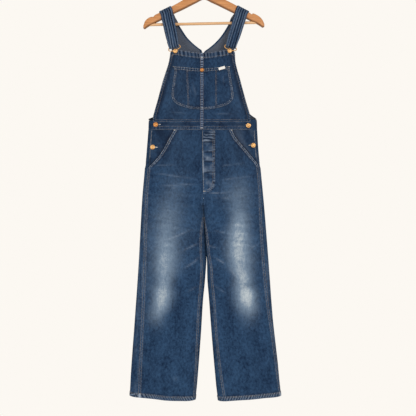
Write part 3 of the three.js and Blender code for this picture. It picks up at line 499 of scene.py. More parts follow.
def noise(seed, x, z, cell_x, cell_z):
    """A smooth random value from -1 to 1, seeded, over cells of a given size."""
    grid = np.random.default_rng(seed).uniform(-1, 1, (NOISE_SIZE, NOISE_SIZE))
    fx = x / cell_x + NOISE_OFFSET
    fz = z / cell_z + NOISE_OFFSET
    i = np.floor(fx).astype(int)
    j = np.floor(fz).astype(int)
    tx = smooth(0, 1, fx - i)
    tz = smooth(0, 1, fz - j)
    i0 = i % NOISE_SIZE
    i1 = (i + 1) % NOISE_SIZE
    j0 = j % NOISE_SIZE
    j1 = (j + 1) % NOISE_SIZE
    low = grid[i0, j0] * (1 - tx) + grid[i1, j0] * tx
    high = grid[i0, j1] * (1 - tx) + grid[i1, j1] * tx
    return low * (1 - tz) + high * tz


WANDER = 3.0
WANDER_CELL = 26.0


def line_share(rows, i, x, z, reach=1.0, taper=0.0):
    """How near a point is to one line of a table: 1 on it, falling off over its half width."""
    dx = rows["x2"][i] - rows["x1"][i]
    dz = rows["z2"][i] - rows["z1"][i]
    length = math.hypot(dx, dz)
    width = rows["width"][i]
    run = ((x - rows["x1"][i]) * dx + (z - rows["z1"][i]) * dz) / length
    across = ((x - rows["x1"][i]) * dz - (z - rows["z1"][i]) * dx) / length
    soft = width + taper * length
    ends = smooth(-width, soft, run) * smooth(-width, soft, length - run)
    across = across + WANDER * noise(401 + i, run, 0 * run, WANDER_CELL, 1)
    return ends * np.exp(-((across / (width * reach)) ** 2))


def fold_sum(rows, column, x, z, reach=1.0, taper=0.0):
    total = np.zeros(np.broadcast(x, z).shape)
    for i in range(len(rows["x1"])):
        total = total + rows[column][i] * line_share(rows, i, x, z, reach, taper)
    return total


# Undulation of the cloth: size of its cells across and down, and height
RIPPLES = table("across down height", [
    (58, 110, 0.9),
    (24, 44, 0.5),
    (11, 19, 0.22),
])


def ripple(seed, x, z):
    total = np.zeros(np.broadcast(x, z).shape)
    for i in range(len(RIPPLES["across"])):
        total = total + RIPPLES["height"][i] * noise(seed + i, x, z, RIPPLES["across"][i], RIPPLES["down"][i])
    return total


def relief(x, z, behind):
    """Height of the folds and undulation at a point of the front or back."""
    front = fold_sum(FRONT_FOLDS, "height", x, z) + fold_sum(FRONT_CREASES, "height", x, z) + ripple(11, x, z)
    back = fold_sum(BACK_FOLDS, "height", x, z) + fold_sum(BACK_CREASES, "height", x, z) + ripple(31, x, z)
    return np.where(behind, back, front)


WORN_REACH = 0.3
WORN_TAPER = 0.3
WORN_SHARE = 0.7


def worn_and_shaded_lines(x, z, behind):
    """Pale worn ridges above 0, and painted shade along troughs below 0."""
    front = 0.0
    for rows in (FRONT_FOLDS, FRONT_CREASES):
        front = front + fold_sum(rows, "worn", x, z, WORN_REACH, WORN_TAPER)
    back = 0.0
    for rows in (BACK_FOLDS, BACK_CREASES):
        back = back + fold_sum(rows, "worn", x, z, WORN_REACH, WORN_TAPER)
    uneven = 0.65 + 0.35 * noise(431, x, z, 12, 12)
    return np.where(behind, back, front) * uneven * WORN_SHARE


def band_share(rows, x, z):
    """A soft band down a leg, as its table gives it."""
    away = x - along(rows, "z", "centre", z)
    width = np.where(away < 0, along(rows, "z", "left", z), along(rows, "z", "right", z))
    return along(rows, "z", "pale", z) * np.exp(-((away / width) ** 2))


def patch_share(rows, x, z):
    kept = np.ones(np.broadcast(x, z).shape)
    for i in range(len(rows["x1"])):
        kept = kept * (1 - rows["pale"][i] * line_share(rows, i, x, z))
    return 1 - kept


def fade(x, z, behind):
    """How pale the cloth is, from 0 to 1."""
    bands = np.where(x < 0, band_share(FADE_LEFT, x, z), band_share(FADE_RIGHT, x, z))
    front = bands + patch_share(FRONT_PATCHES, x, z)
    brushed = noise(301, x, z + 0.12 * x, 52, 6.5) + 0.6 * noise(303, x, z - 0.1 * x, 30, 3.6)
    upper = smooth(-1120, -960, z) * smooth(-640, -740, z)
    front = front * (1 + 0.13 * upper * brushed) + 0.02 * upper * np.maximum(brushed, 0)
    fleck = noise(305, x, z, 5, 9) + noise(307, x, z, 2.6, 5)
    front = front * (1 + 0.12 * fleck)
    back = patch_share(BACK_FADES, x, z) * (1 + 0.2 * brushed + 0.12 * fleck)
    return np.clip(np.where(behind, back, front), 0, 1)


def section(side, z):
    """Section of one side of the body, or of one leg, at each height."""
    sign = -1 if side == "left" else 1
    outer = along(BODY, "z", side, z)
    parting = np.where(z > CROTCH_BOTTOM, GAP / 2, LEG_PARTING)
    inner = along(INNER, "z", side, z) + sign * parting
    close = 1 - smooth(CROTCH_BOTTOM, CROTCH_TOP, z)
    return {
        "sign": sign,
        "outer": outer,
        "inner": inner,
        "front": along(BODY, "z", "front", z),
        "back": along(BODY, "z", "back", z),
        "close": close,
        "lean": LEG_LEAN * close * smooth(LEAN_LOW, LEAN_TOP, z),
        "flat": np.abs(outer - inner) - SIDE_ROUND - INNER_ROUND,
    }


def flat_point(shape, s):
    """Level outline of a side at turn s: 0 to 3 in front from the outer edge in, 3 to 6 back behind."""
    turn = np.where(s >= 6, s - 6, s)
    behind = (turn >= 3) & (s < 6)
    q = np.where(behind, 6 - turn, turn)
    depth = np.where(behind, shape["back"], -shape["front"])
    outer_angle = q * math.pi / 2
    inner_angle = (3 - q) * math.pi / 2
    inset = np.select(
        [q <= 1, q <= 2],
        [SIDE_ROUND * (1 - np.cos(outer_angle)), SIDE_ROUND + (q - 1) * shape["flat"]],
        SIDE_ROUND + shape["flat"] + INNER_ROUND * np.cos(inner_angle),
    )
    crown = 1 + (CROWN / np.abs(depth)) * np.sin((q - 1) * math.pi) ** 2
    closed = 1 - shape["close"] * (1 - np.sin(inner_angle))
    level = np.select([q <= 1, q <= 2], [np.sin(outer_angle), crown], closed)
    y = depth * level
    leaning = shape["lean"] * smooth(2, 2.5, q) * y
    return shape["outer"] - shape["sign"] * inset + leaning, y, behind


def turn_at_inset(shape, inset):
    """The turn that lies a given distance in from the outer edge."""
    near = np.arccos(1 - np.clip(inset, 0, SIDE_ROUND) / SIDE_ROUND) / (math.pi / 2)
    return np.where(inset >= SIDE_ROUND, 1 + (inset - SIDE_ROUND) / shape["flat"], near)


def turn_at_inner(inset):
    return INNER_EDGE - np.arccos(1 - np.clip(inset, 0, INNER_ROUND) / INNER_ROUND) / (math.pi / 2)


def turn_across(shape, inset):
    q = turn_at_inset(shape, inset)
    past = np.clip((inset - SIDE_ROUND - shape["flat"]) / INNER_ROUND, 0, 1)
    return np.where(q <= 2, q, np.minimum(2 + np.arcsin(past) / (math.pi / 2), INNER_EDGE))


def skin(side, z, s, lift=0.0):
    """Points of the garment's outer surface, moved out by a lift."""
    shape = section(side, z)
    x, y, behind = flat_point(shape, s)
    low = np.where(s >= 3, np.maximum(s - TURN_STEP, 3), s - TURN_STEP)
    high = np.where(s < 3, np.minimum(s + TURN_STEP, INNER_EDGE), s + TURN_STEP)
    ax, ay, _ = flat_point(shape, low)
    bx, by, _ = flat_point(shape, high)
    nx = (ay - by) * shape["sign"]
    ny = (bx - ax) * shape["sign"]
    size = np.maximum(np.hypot(nx, ny), 1e-9)
    nx = nx / size
    ny = ny / size
    raised = lift + relief(x, z, behind) * ny ** 2
    return np.stack(np.broadcast_arrays(x + nx * raised, y + ny * raised, z), axis=-1)


def skin_at(x, z, lift=0.0, behind=False):
    """The same, found by its place across the front or the back."""
    x, z, lift = np.broadcast_arrays(np.asarray(x, float), np.asarray(z, float), np.asarray(lift, float))
    points = []
    for side in ("left", "right"):
        shape = section(side, z)
        q = turn_across(shape, (shape["outer"] - x) * shape["sign"])
        points.append(skin(side, z, 6 - q if behind else q, lift))
    left = x < along(INNER, "z", "left", z)
    return np.where(left[..., None], points[0], points[1])


SPREAD_SAMPLES = 65


def turns_along(shape, start, end, columns):
    """Turns at given distances along the cloth between two turns, one row for each height.

    Each column is a pair: a distance in millimetres, and a share of the row's whole length."""
    t = np.linspace(0, 1, SPREAD_SAMPLES)
    s = start + (end - start) * t
    x, y, _ = flat_point(shape, s)
    step = np.hypot(np.diff(x, axis=1), np.diff(y, axis=1))
    run = np.concatenate([np.zeros((len(step), 1)), np.cumsum(step, axis=1)], axis=1)
    length = run[:, -1:]
    goal = columns[:, 0] + columns[:, 1] * length
    turns = np.array([np.interp(goal[i], run[i], s[i]) for i in range(len(goal))])
    return turns, goal, length


def edge_columns(fine_start, fine_end, count):
    """Columns at fixed distances beside both edges, and evenly spread ones between."""
    first = [(d, 0.0) for d in fine_start]
    last = [(-d, 1.0) for d in reversed(fine_end)]
    inside = [
        (fine_start[-1] * (1 - f) - fine_end[-1] * f, f)
        for f in np.linspace(0, 1, count + 2)[1:-1]
    ]
    return np.array(first + inside + last)


def falling(*values):
    """Heights as one column of rows, from top to bottom, with repeats left out."""
    heights = np.unique(np.round(np.concatenate([np.atleast_1d(v) for v in values]), 3))[::-1]
    return heights[:, None]


def evenly(top, bottom, spacing):
    return np.linspace(top, bottom, max(2, int(round((top - bottom) / spacing)) + 1))


def hem_shift(x, z):
    share = smooth(HEM + HEM_SWING, HEM, z)
    return share * (along(HEM_LINE, "x", "z", x) - HEM)


# Meshes

def new_object(name, vertices, faces, material, sharp=40):
    mesh = bpy.data.meshes.new(name)
    mesh.from_pydata((np.asarray(vertices) * MM).tolist(), [], faces)
    mesh.polygons.foreach_set("use_smooth", [True] * len(mesh.polygons))
    mesh.set_sharp_from_angle(angle=math.radians(sharp))
    mesh.materials.append(material)
    mesh.validate()
    obj = bpy.data.objects.new(name, mesh)
    bpy.context.scene.collection.objects.link(obj)
    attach(obj, "root")
    return obj


def set_vector(obj, name, values):
    attribute = obj.data.attributes.new(name, "FLOAT_VECTOR", "POINT")
    attribute.data.foreach_set("vector", np.asarray(values, float).ravel())


def grid_faces(rows, columns, base=0, flip=False):
    index = np.arange(rows * columns).reshape(rows, columns) + base
    a = index[:-1, :-1].ravel()
    b = index[1:, :-1].ravel()
    c = index[1:, 1:].ravel()
    d = index[:-1, 1:].ravel()
    order = (a, d, c, b) if flip else (a, b, c, d)
    return np.stack(order, axis=1).tolist()


def rim_faces(rows, columns):
    """Faces that close the edge between an outer and an inner grid."""
    index = np.arange(rows * columns).reshape(rows, columns)
    around = np.concatenate([index[0, :-1], index[:-1, -1], index[-1, :0:-1], index[:0:-1, 0]])
    after = np.roll(around, -1)
    inner = rows * columns
    return np.stack((around, after, after + inner, around + inner), axis=1).tolist()


def cloth_shell(name, outer, inner, material, run, down, wash_and_shade, inside_share=1.0):
    """A closed thin shell of cloth between two grids of points, with its thread directions, worn marks and
    painted shade.

    The inside share is 1 where the inner face shows the pale side of the cloth."""
    rows, columns = outer.shape[:2]
    vertices = np.concatenate([outer.reshape(-1, 3), inner.reshape(-1, 3)])
    faces = grid_faces(rows, columns) + grid_faces(rows, columns, rows * columns, True)
    faces += rim_faces(rows, columns)
    obj = new_object(name, vertices, faces, material)
    turn_out(obj)
    weave = np.stack(np.broadcast_arrays(run * MM, down * MM, np.zeros(outer.shape[:2])), axis=-1)
    inside = weave.copy()
    inside[..., 2] = inside_share
    set_vector(obj, "weave", np.concatenate([weave.reshape(-1, 3), inside.reshape(-1, 3)]))
    # Fading, worn marks, and darkening that is mostly painted shade.
    wear_and_shade = np.stack(np.broadcast_arrays(*wash_and_shade), axis=-1).reshape(-1, 3)
    set_vector(obj, "wash_and_shade", np.concatenate([wear_and_shade, wear_and_shade]))
    return obj


def stands_for(obj, node):
    """Hides the solid that an object replaces."""
    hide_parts(node)
    return obj


def turn_out(obj):
    """Turns a closed mesh's faces so that its volume is positive."""
    mesh = obj.data
    count = len(mesh.vertices)
    co = np.empty(count * 3)
    mesh.vertices.foreach_get("co", co)
    co = co.reshape(-1, 3)
    mesh.calc_loop_triangles()
    tri = np.empty(len(mesh.loop_triangles) * 3, dtype=np.int32)
    mesh.loop_triangles.foreach_get("vertices", tri)
    a, b, c = (co[tri.reshape(-1, 3)[:, k]] for k in range(3))
    volume = np.einsum("ij,ij->i", a, np.cross(b, c)).sum()
    if volume < 0:
        mesh.flip_normals()


# Materials

# Slant of the twill, in radians for each metre across and down
TWILL_ACROSS = 4400
TWILL_DOWN = 3600


class Graph:
    """A material's nodes, made one call each."""

    def __init__(self, name):
        self.material = bpy.data.materials.new(name)
        self.material.use_nodes = True
        self.tree = self.material.node_tree
        self.shader = self.tree.nodes["Principled BSDF"]

    def feed(self, socket, value):
        if isinstance(value, bpy.types.NodeSocket):
            self.tree.links.new(value, socket)
        else:
            socket.default_value = value

    def node(self, kind, output=0, inputs=(), **settings):
        made = self.tree.nodes.new(kind)
        for key, value in settings.items():
            setattr(made, key, value)
        for key, value in dict(inputs).items():
            self.feed(made.inputs[key], value)
        return made.outputs[output]

    def math(self, operation, a, b=0.0, c=0.0, clamp=False):
        inputs = {0: a, 1: b, 2: c}
        return self.node("ShaderNodeMath", 0, inputs, operation=operation, use_clamp=clamp)

    def mix(self, share, a, b, blend="MIX"):
        made = self.tree.nodes.new("ShaderNodeMix")
        made.data_type = "RGBA"
        made.blend_type = blend
        self.feed(made.inputs[0], share)
        self.feed(made.inputs[6], a)
        self.feed(made.inputs[7], b)
        return made.outputs[2]

    def noise(self, vector, scale, detail=2.0, roughness=0.5):
        inputs = {"Vector": vector, "Scale": scale, "Detail": detail, "Roughness": roughness}
        return self.node("ShaderNodeTexNoise", 0, inputs)

    def scaled(self, vector, x, y, z):
        inputs = {0: vector, 1: (x, y, z)}
        return self.node("ShaderNodeVectorMath", 0, inputs, operation="MULTIPLY")

    def bump(self, height, strength, distance):
        inputs = {"Height": height, "Strength": strength, "Distance": distance}
        self.feed(self.shader.inputs["Normal"], self.node("ShaderNodeBump", 0, inputs))

    def surface(self, color, roughness, metallic=0.0, sheen=0.0, specular=0.5, coat=0.0):
        self.feed(self.shader.inputs["Base Color"], color)
        self.feed(self.shader.inputs["Roughness"], roughness)
        self.shader.inputs["Metallic"].default_value = metallic
        self.shader.inputs["Sheen Weight"].default_value = sheen
        self.shader.inputs["Sheen Roughness"].default_value = 0.5
        self.shader.inputs["Specular IOR Level"].default_value = specular
        self.shader.inputs["Coat Weight"].default_value = coat
        self.shader.inputs["Coat Roughness"].default_value = 0.15


def srgb(red, green, blue):
    """A colour as on a screen, from 0 to 255, made linear."""
    linear = []
    for value in (red, green, blue):
        share = value / 255
        linear.append(share / 12.92 if share <= 0.04045 else ((share + 0.055) / 1.055) ** 2.4)
    return (*linear, 1.0)


# Deep blue for painted shade, and for unfaded dye.
INDIGO_AND_SHADE = srgb(10, 16, 30)


def denim(name, deep, light, inside):
    """Indigo twill: slubs along the warp, mottling, fading, worn ridges with some painted highlights, and
    painted shade.
    """
    g = Graph(name)
    weave = g.node("ShaderNodeAttribute", "Vector", attribute_name="weave")
    wash_and_shade = g.node("ShaderNodeAttribute", "Vector", attribute_name="wash_and_shade")
    parts = g.tree.nodes.new("ShaderNodeSeparateXYZ")
    g.feed(parts.inputs[0], weave)
    wear_and_shade = g.tree.nodes.new("ShaderNodeSeparateXYZ")
    g.feed(wear_and_shade.inputs[0], wash_and_shade)
    slub = g.noise(g.scaled(weave, 900, 55, 0), 1, 3, 0.6)
    weft = g.noise(g.scaled(weave, 60, 700, 0), 1, 2, 0.5)
    blotch = g.noise(g.scaled(weave, 130, 85, 0), 1, 5, 0.7)
    cloud = g.noise(g.scaled(weave, 22, 12, 0), 1, 3, 0.5)
    streak = g.noise(g.scaled(weave, 240, 16, 0), 1, 3, 0.6)
    grit = g.noise(g.scaled(weave, 380, 250, 0), 1, 3, 0.7)
    grain = g.math("ADD", g.math("MULTIPLY", blotch, 0.35), g.math("MULTIPLY", slub, 0.2))
    grain = g.math("ADD", grain, g.math("MULTIPLY", grit, 0.45))
    tone = g.math("ADD", g.math("MULTIPLY", blotch, 0.3), g.math("MULTIPLY", grain, 0.7))
    tone = g.math("ADD", tone, g.math("MULTIPLY", g.math("SUBTRACT", cloud, 0.5), 0.35))
    tone = g.math("MULTIPLY_ADD", g.math("SUBTRACT", tone, 0.5), 4.4, 0.5, True)
    base = g.mix(tone, deep, light)
    uneven = g.math("MULTIPLY_ADD", g.math("SUBTRACT", grain, 0.5), 2.2, 1.0)
    streaky = g.math("MULTIPLY_ADD", g.math("SUBTRACT", streak, 0.5), 0.35, 1.0)
    faded = g.math("MULTIPLY", g.math("MULTIPLY", wear_and_shade.outputs[0], uneven), streaky)
    color = g.mix(g.math("MULTIPLY", faded, 2.0, clamp=True), base, HALF_FADED)
    color = g.mix(g.math("MULTIPLY_ADD", faded, 2.0, -1.0, True), color, PALE)
    thread = g.math("MULTIPLY_ADD", g.math("SUBTRACT", grain, 0.5), 3.0, 1.0)
    rubbed = g.math("MULTIPLY", wear_and_shade.outputs[1], thread, clamp=True)
    color = g.mix(rubbed, color, WORN_AND_HIGHLIGHT)
    # Painted shade: the third value darkens the cloth towards deep blue, with some unfaded dye.
    color = g.mix(g.math("MULTIPLY", wear_and_shade.outputs[2], 0.75, clamp=True), color, INDIGO_AND_SHADE)
    color = g.mix(parts.outputs[2], color, g.mix(g.math("MULTIPLY", weft, 0.5), inside, base))
    across = g.math("MULTIPLY", parts.outputs[0], TWILL_ACROSS)
    down = g.math("MULTIPLY", parts.outputs[1], TWILL_DOWN)
    twill = g.math("SINE", g.math("ADD", across, down))
    height = g.math("ADD", g.math("MULTIPLY", twill, 0.35), g.math("MULTIPLY", slub, 0.9))
    height = g.math("ADD", height, g.math("MULTIPLY", weft, 0.5))
    g.bump(height, 0.5, 0.0004)
    g.surface(color, 0.95, sheen=0.0, specular=0.05)
    return g.material


def thread_material(name, color):
    g = Graph(name)
    place = g.node("ShaderNodeTexCoord", "Object")
    soiled = g.math("MULTIPLY_ADD", g.math("SUBTRACT", g.noise(place, 90, 2), 0.5), 4.0, 0.5, True)
    g.surface(g.mix(soiled, color, tuple(0.35 * c for c in color[:3]) + (1,)), 0.9, specular=0.1)
    return g.material


def metal_material(name, bright, dull, roughness):
    g = Graph(name)
    place = g.node("ShaderNodeTexCoord", "Object")
    patina = g.noise(place, 260, 4, 0.65)
    share = g.math("MULTIPLY_ADD", g.math("SUBTRACT", patina, 0.5), 3.0, 0.45, True)
    g.surface(g.mix(share, bright, dull), g.math("MULTIPLY_ADD", patina, 0.3, roughness), metallic=1.0)
    g.bump(patina, 0.15, 0.0003)
    return g.material


# Painted shade for the underside of the hanger.
UNDERSIDE_SHADE = srgb(82, 48, 24)


def wood_material(name, light, dark, coat):
    g = Graph(name)
    place = g.node("ShaderNodeTexCoord", "Object")
    grain = g.noise(g.scaled(place, 14, 220, 220), 1, 5, 0.6)
    flecks = g.noise(g.scaled(place, 160, 900, 900), 1, 2, 0.5)
    tone = g.math("MULTIPLY_ADD", g.math("SUBTRACT", grain, 0.5), 3.0, 0.3, True)
    color = g.mix(tone, light, dark)
    spots = g.math("MULTIPLY_ADD", g.math("SUBTRACT", flecks, 0.55), 3.0, 0.0, True)
    color = g.mix(spots, color, dark)
    # Painted shade: the under attribute darkens the underside.
    under = g.node("ShaderNodeAttribute", "Vector", attribute_name="under")
    shade = g.tree.nodes.new("ShaderNodeSeparateXYZ")
    g.feed(shade.inputs[0], under)
    color = g.mix(g.math("MULTIPLY", shade.outputs[0], 0.6), color, UNDERSIDE_SHADE)
    g.surface(color, 0.5, specular=0.25, coat=coat)
    g.bump(grain, 0.06, 0.0005)
    return g.material


def label_material():
    g = Graph("label_tape")
    place = g.node("ShaderNodeTexCoord", "Object")
    ribs = g.noise(g.scaled(place, 300, 300, 3200), 1, 1)
    g.surface(g.mix(ribs, srgb(196, 194, 190), srgb(168, 166, 162)), 0.85)
    g.bump(ribs, 0.3, 0.0003)
    return g.material


HALF_FADED = srgb(90, 106, 124)
PALE = srgb(148, 157, 163)
# Pale colour of worn ridges, also used for painted highlights on the fly's tucks and bumps.
WORN_AND_HIGHLIGHT = srgb(122, 134, 150)
INSIDE = srgb(74, 78, 87)
DENIM = denim("denim_body", srgb(14, 29, 50), srgb(38, 61, 88), INSIDE)
DENIM_WORN = denim("denim_worn", srgb(22, 35, 56), srgb(44, 60, 86), INSIDE)
THREAD = thread_material("thread_tan", srgb(140, 130, 120))
THREAD_BLUE = thread_material("thread_faded", srgb(104, 112, 126))
THREAD_LIGHT = thread_material("thread_light", srgb(170, 168, 168))
BRASS = metal_material("brass", srgb(210, 170, 116), srgb(122, 86, 50), 0.42)
COPPER = metal_material("copper", srgb(188, 132, 78), srgb(108, 68, 38), 0.4)
STEEL = metal_material("steel", srgb(200, 202, 206), srgb(150, 153, 158), 0.12)
BEECH = wood_material("beech", srgb(164, 114, 70), srgb(128, 82, 44), 0.05)
BEECH_PALE = wood_material("beech_pale", srgb(182, 148, 112), srgb(156, 116, 78), 0.05)
LABEL = label_material()


def pucker(run, spacing, seed):
    """Uneven gathers along a stitched edge, from -1 to 1."""
    drift = 0.8 * noise(seed, run, run * 0, 2.7 * spacing, 1)
    size = 0.55 + 0.45 * noise(seed + 1, run, run * 0, 3.1 * spacing, 1)
    return size * np.sin(2 * math.pi * (run / spacing + drift))


def edge_distance(x, z, outline):
    """Shortest distance from each point to a line of points, and how far along the line that lies."""
    outline = np.array(outline)
    shape = np.broadcast(x, z).shape
    flat = np.stack(np.broadcast_arrays(x, z), axis=-1).reshape(-1, 1, 2)
    away = np.linalg.norm(flat - outline[None], axis=2)
    nearest = away.argmin(axis=1)
    run = np.concatenate([[0], np.cumsum(np.linalg.norm(np.diff(outline, axis=0), axis=1))])
    return away.min(axis=1).reshape(shape), run[nearest].reshape(shape)


# Darkening of the cloth from the hips up, fading out towards the thighs.
TOP_DARKENING = 0.3


def wash_and_shade_of(x, z, behind, worn=0.0, dark=0.0, pale=1.0):
    """The three values of cloth: fading, rubbed ridges, and darkening that is mostly painted shade in troughs
    and recesses.
    """
    lines = worn_and_shaded_lines(x, z, behind)
    rubbed = np.clip(worn + np.maximum(lines, 0), 0, 1)
    darker_top = TOP_DARKENING * smooth(-800, -640, z)
    # Painted shade from each piece and along troughs, added to the darker top.
    shade_and_darkening = np.clip(dark + darker_top + np.maximum(-lines, 0), 0, 1)
    return fade(x, z, behind) * pale, rubbed, shade_and_darkening


def rounded(distance, lip=0.8, drop=0.5):
    """A small fall of the outer face towards a cut or turned edge."""
    return -drop * (1 - smooth(0, lip, distance))


# The turned hem as it is stitched, a little deeper than the solid's step
HEM_STITCHED = 16.0
LEG_ROWS = falling(
    evenly(WAIST_BOTTOM - GAP, HEM + HEM_DEPTH + 6, 4.5),
    evenly(HEM + HEM_DEPTH + 6, HEM, 1.6),
)
SEAM_FINE = [0, 0.8, 3, 5.5, 8, 10.5, 12, 13.5, 17]
LEG_COLUMNS = edge_columns(SEAM_FINE, SEAM_FINE, 44)
BACK_COLUMNS = edge_columns([0, 1, 4, 8, 13], [0, 1, 4, 8, 13], 48)
FLY_PATCHES = table("x z radius height", [
    (16, -672, 12, 1.3),
    (9, -707, 11, 1.2),
    (6, -743, 11, 1.2),
])


FLY_CREASES = (-616, -652, -686, -724)


def leg_front(side):
    z = LEG_ROWS
    shape = section(side, z)
    slant = (shape["outer"] - along(SLANT, "z", side, z)) * shape["sign"]
    seam = along(SEAM_INSET, "z", side + "_outer", z)
    start = turn_at_inset(shape, np.where(z > OPENING_BOTTOM, slant, seam) + GAP / 2)
    inner_seam = turn_at_inner(along(SEAM_INSET, "z", side + "_inner", z) + GAP / 2)
    stop = np.where(z > CROTCH_BOTTOM, INNER_EDGE, inner_seam)
    s, run, length = turns_along(shape, start, stop, LEG_COLUMNS)
    rest = length - run
    seed = 50 if side == "left" else 70
    fell = 1 - smooth(FELL_WIDTH - 1, FELL_WIDTH + 1, run)
    inner_fell = (1 - smooth(FELL_WIDTH - 3, FELL_WIDTH - 1, rest)) * smooth(CROTCH_TOP, CROTCH_BOTTOM, z)
    hem = smooth(HEM + HEM_STITCHED + 0.8, HEM + HEM_STITCHED - 0.8, z)
    slanted = smooth(OPENING_BOTTOM - 12, OPENING_BOTTOM + 12, z)
    strength = 1 + 0.9 * slanted
    gathers = pucker(-z + 0.5 * run, 9.5 - 1.5 * slanted, seed)
    inner_gathers = pucker(-z + 0.5 * rest, 9.5, seed + 3)
    roping = pucker(run + 0.6 * (z - HEM), 9, seed + 6)
    raise_seam = fell * (FELL_RAISE + 0.35 * gathers * strength) + inner_fell * (0.5 + 0.25 * inner_gathers)
    raise_hem = hem * (HEM_EXTRA + 0.5 * roping)
    lift = np.maximum(raise_seam, raise_hem) + rounded(run) + rounded(rest)
    x = skin(side, z, s)[..., 0]
    rows = np.exp(-((run - 2.5) / 2.2) ** 2) + np.exp(-((run - FELL_WIDTH + 2) / 2.2) ** 2)
    inner_rows = np.exp(-((rest - 2.2) / 2) ** 2) + np.exp(-((rest - 8) / 2) ** 2)
    crossing = hem * np.exp(-((run - 6) / 4.5) ** 4)
    worn = fell * np.clip(0.02 + 0.2 * gathers * strength, 0, 1) + rows * 0.04
    worn = worn + inner_fell * np.clip(0.02 + 0.2 * inner_gathers, 0, 1) + inner_fell * inner_rows * 0.05
    worn = worn * (1 - hem) + hem * np.clip(0.04 + 0.7 * roping, 0, 1) * (1 - crossing) + 1.0 * crossing
    worn = worn + 0.2 * np.exp(-((z - HEM) / 1.5) ** 2)
    # Painted shade, with some unfaded dye, in a band beside the fell (stronger along the slanted pocket edge)
    # and in the low parts of the gathers and the hem's roping; a darker line runs just above the hem.
    beside = np.exp(-((run - FELL_WIDTH - 3) / 4) ** 2) * (0.2 + 0.2 * slanted)
    above_hem = np.exp(-((z - HEM - HEM_STITCHED - 2) / 3) ** 2) * 0.4
    dark = np.maximum(beside, above_hem) + fell * np.clip(-0.35 * gathers * strength, 0, 1)
    dark = dark + hem * (1 - crossing) * np.clip(-1.5 * roping, 0, 1)
    points = []
    for depth in (0, -CLOTH):
        grid = skin(side, z, s, (lift if depth == 0 else 0) + depth)
        grid[..., 2] += hem_shift(grid[..., 0], z)
        points.append(grid)
    name = "leg_front_" + side
    warp = run + np.where(z > OPENING_BOTTOM, slant, seam)
    wash_and_shade = wash_and_shade_of(x, z, False, worn, dark)
    obj = cloth_shell("denim_" + name, points[0], points[1], DENIM, warp, -z, wash_and_shade)
    return stands_for(obj, name)


def leg_back(side):
    z = LEG_ROWS
    shape = section(side, z)
    open_share = smooth(OPENING_BOTTOM + 9, OPENING_BOTTOM + 24, z)
    sunk = smooth(OPENING_BOTTOM, OPENING_BOTTOM + 9, z)
    seam = along(SEAM_INSET, "z", side + "_outer", z) - GAP / 2
    outer_end = turn_at_inset(shape, seam + EXTENSION * open_share)
    inner_end = turn_at_inner(along(SEAM_INSET, "z", side + "_inner", z) - GAP / 2)
    start = np.where(z > CROTCH_BOTTOM, 3.0, inner_end)
    s, run, length = turns_along(shape, start, 6 + outer_end, BACK_COLUMNS)
    rest = length - run
    under = sunk * EXTENSION_DROP * smooth(5.8, 6.25, s)
    hem = smooth(HEM + HEM_STITCHED + 0.8, HEM + HEM_STITCHED - 0.8, z)
    seed = 90 if side == "left" else 110
    roping = pucker(run + 0.6 * (z - HEM), 9, seed)
    gathers = pucker(-z, 10, seed + 3)
    beside_seam = np.exp(-(rest / 6) ** 2) + np.exp(-(run / 6) ** 2)
    lift = hem * (HEM_EXTRA + 0.5 * roping) + 0.3 * beside_seam * gathers + rounded(run) + rounded(rest)
    flat = skin(side, z, s)
    x_flat = flat[..., 0]
    behind = (s >= 3) & (s < 6)
    streaks = 0.16 * (1 - smooth(18, 45, rest)) * np.maximum(noise(seed + 9, rest, z, 4, 70), 0)
    worn = hem * np.clip(0.04 + 0.7 * roping, 0, 1) + beside_seam * np.clip(0.15 * gathers, 0, 1)
    blotches = noise(seed + 12, x_flat, z, 7, 16) * open_share * (1 - smooth(30, 42, rest))
    worn = worn + streaks + 0.45 * np.maximum(blotches, 0)
    # Painted shade, with some unfaded dye, in the low parts of the hem's roping and of the gathers beside the
    # seams; the blotches are the cloth's own mottling.
    dark = hem * np.clip(-1.5 * roping, 0, 1) + beside_seam * np.clip(-0.3 * gathers, 0, 1)
    dark = dark + 0.9 * np.maximum(-blotches, 0)
    points = []
    for depth in (0, -CLOTH):
        grid = skin(side, z, s, (lift if depth == 0 else 0) + depth - under)
        grid[..., 2] += hem_shift(grid[..., 0], z)
        points.append(grid)
    name = "leg_back_" + side
    wash_and_shade = wash_and_shade_of(flat[..., 0], z, behind, worn, dark)
    obj = cloth_shell("denim_" + name, points[0], points[1], DENIM, run, -z, wash_and_shade)
    return stands_for(obj, name)


def pocket_facing(side):
    z = falling(evenly(WAIST_BOTTOM - GAP, OPENING_BOTTOM - 4, 3.5))
    shape = section(side, z)
    slant = (shape["outer"] - along(SLANT, "z", side, z)) * shape["sign"]
    seam = along(SEAM_INSET, "z", side + "_outer", z) + 2
    free = smooth(OPENING_BOTTOM + 22, OPENING_BOTTOM + 40, z)
    edge = 12 if side == "left" else 10
    inset = seam + (edge - seam) * free
    start = turn_at_inset(shape, inset)
    end = turn_at_inset(shape, np.maximum(slant, inset) + FACING_TUCK)
    s, run, length = turns_along(shape, start, end, edge_columns([0, 0.8, 3, 6], [0, 4], 18))
    x = skin(side, z, s)[..., 0]
    worn = np.exp(-(run / 2.2) ** 2) * (0.4 + 0.3 * pucker(-z, 8, 131))
    creased = noise(133, x + 0.5 * z, z, 16, 60)
    worn = worn + 0.15 * np.maximum(creased, 0)
    # Painted shade in a band where the facing tucks under the front's slanted edge; the facing is also a
    # little darker overall, with darker streaks of mottling.
    dark = 0.2 + 0.5 * np.exp(-((length - run - FACING_TUCK) / 7) ** 2) + 0.5 * np.maximum(-creased, 0)
    outer = skin(side, z, s, rounded(run) - FACING_DROP)
    inner = skin(side, z, s, -FACING_DROP - CLOTH)
    name = "pocket_facing_" + side
    obj = cloth_shell("denim_" + name, outer, inner, DENIM, run, -z, wash_and_shade_of(x, z, False, worn, dark, 0.6))
    return stands_for(obj, name)


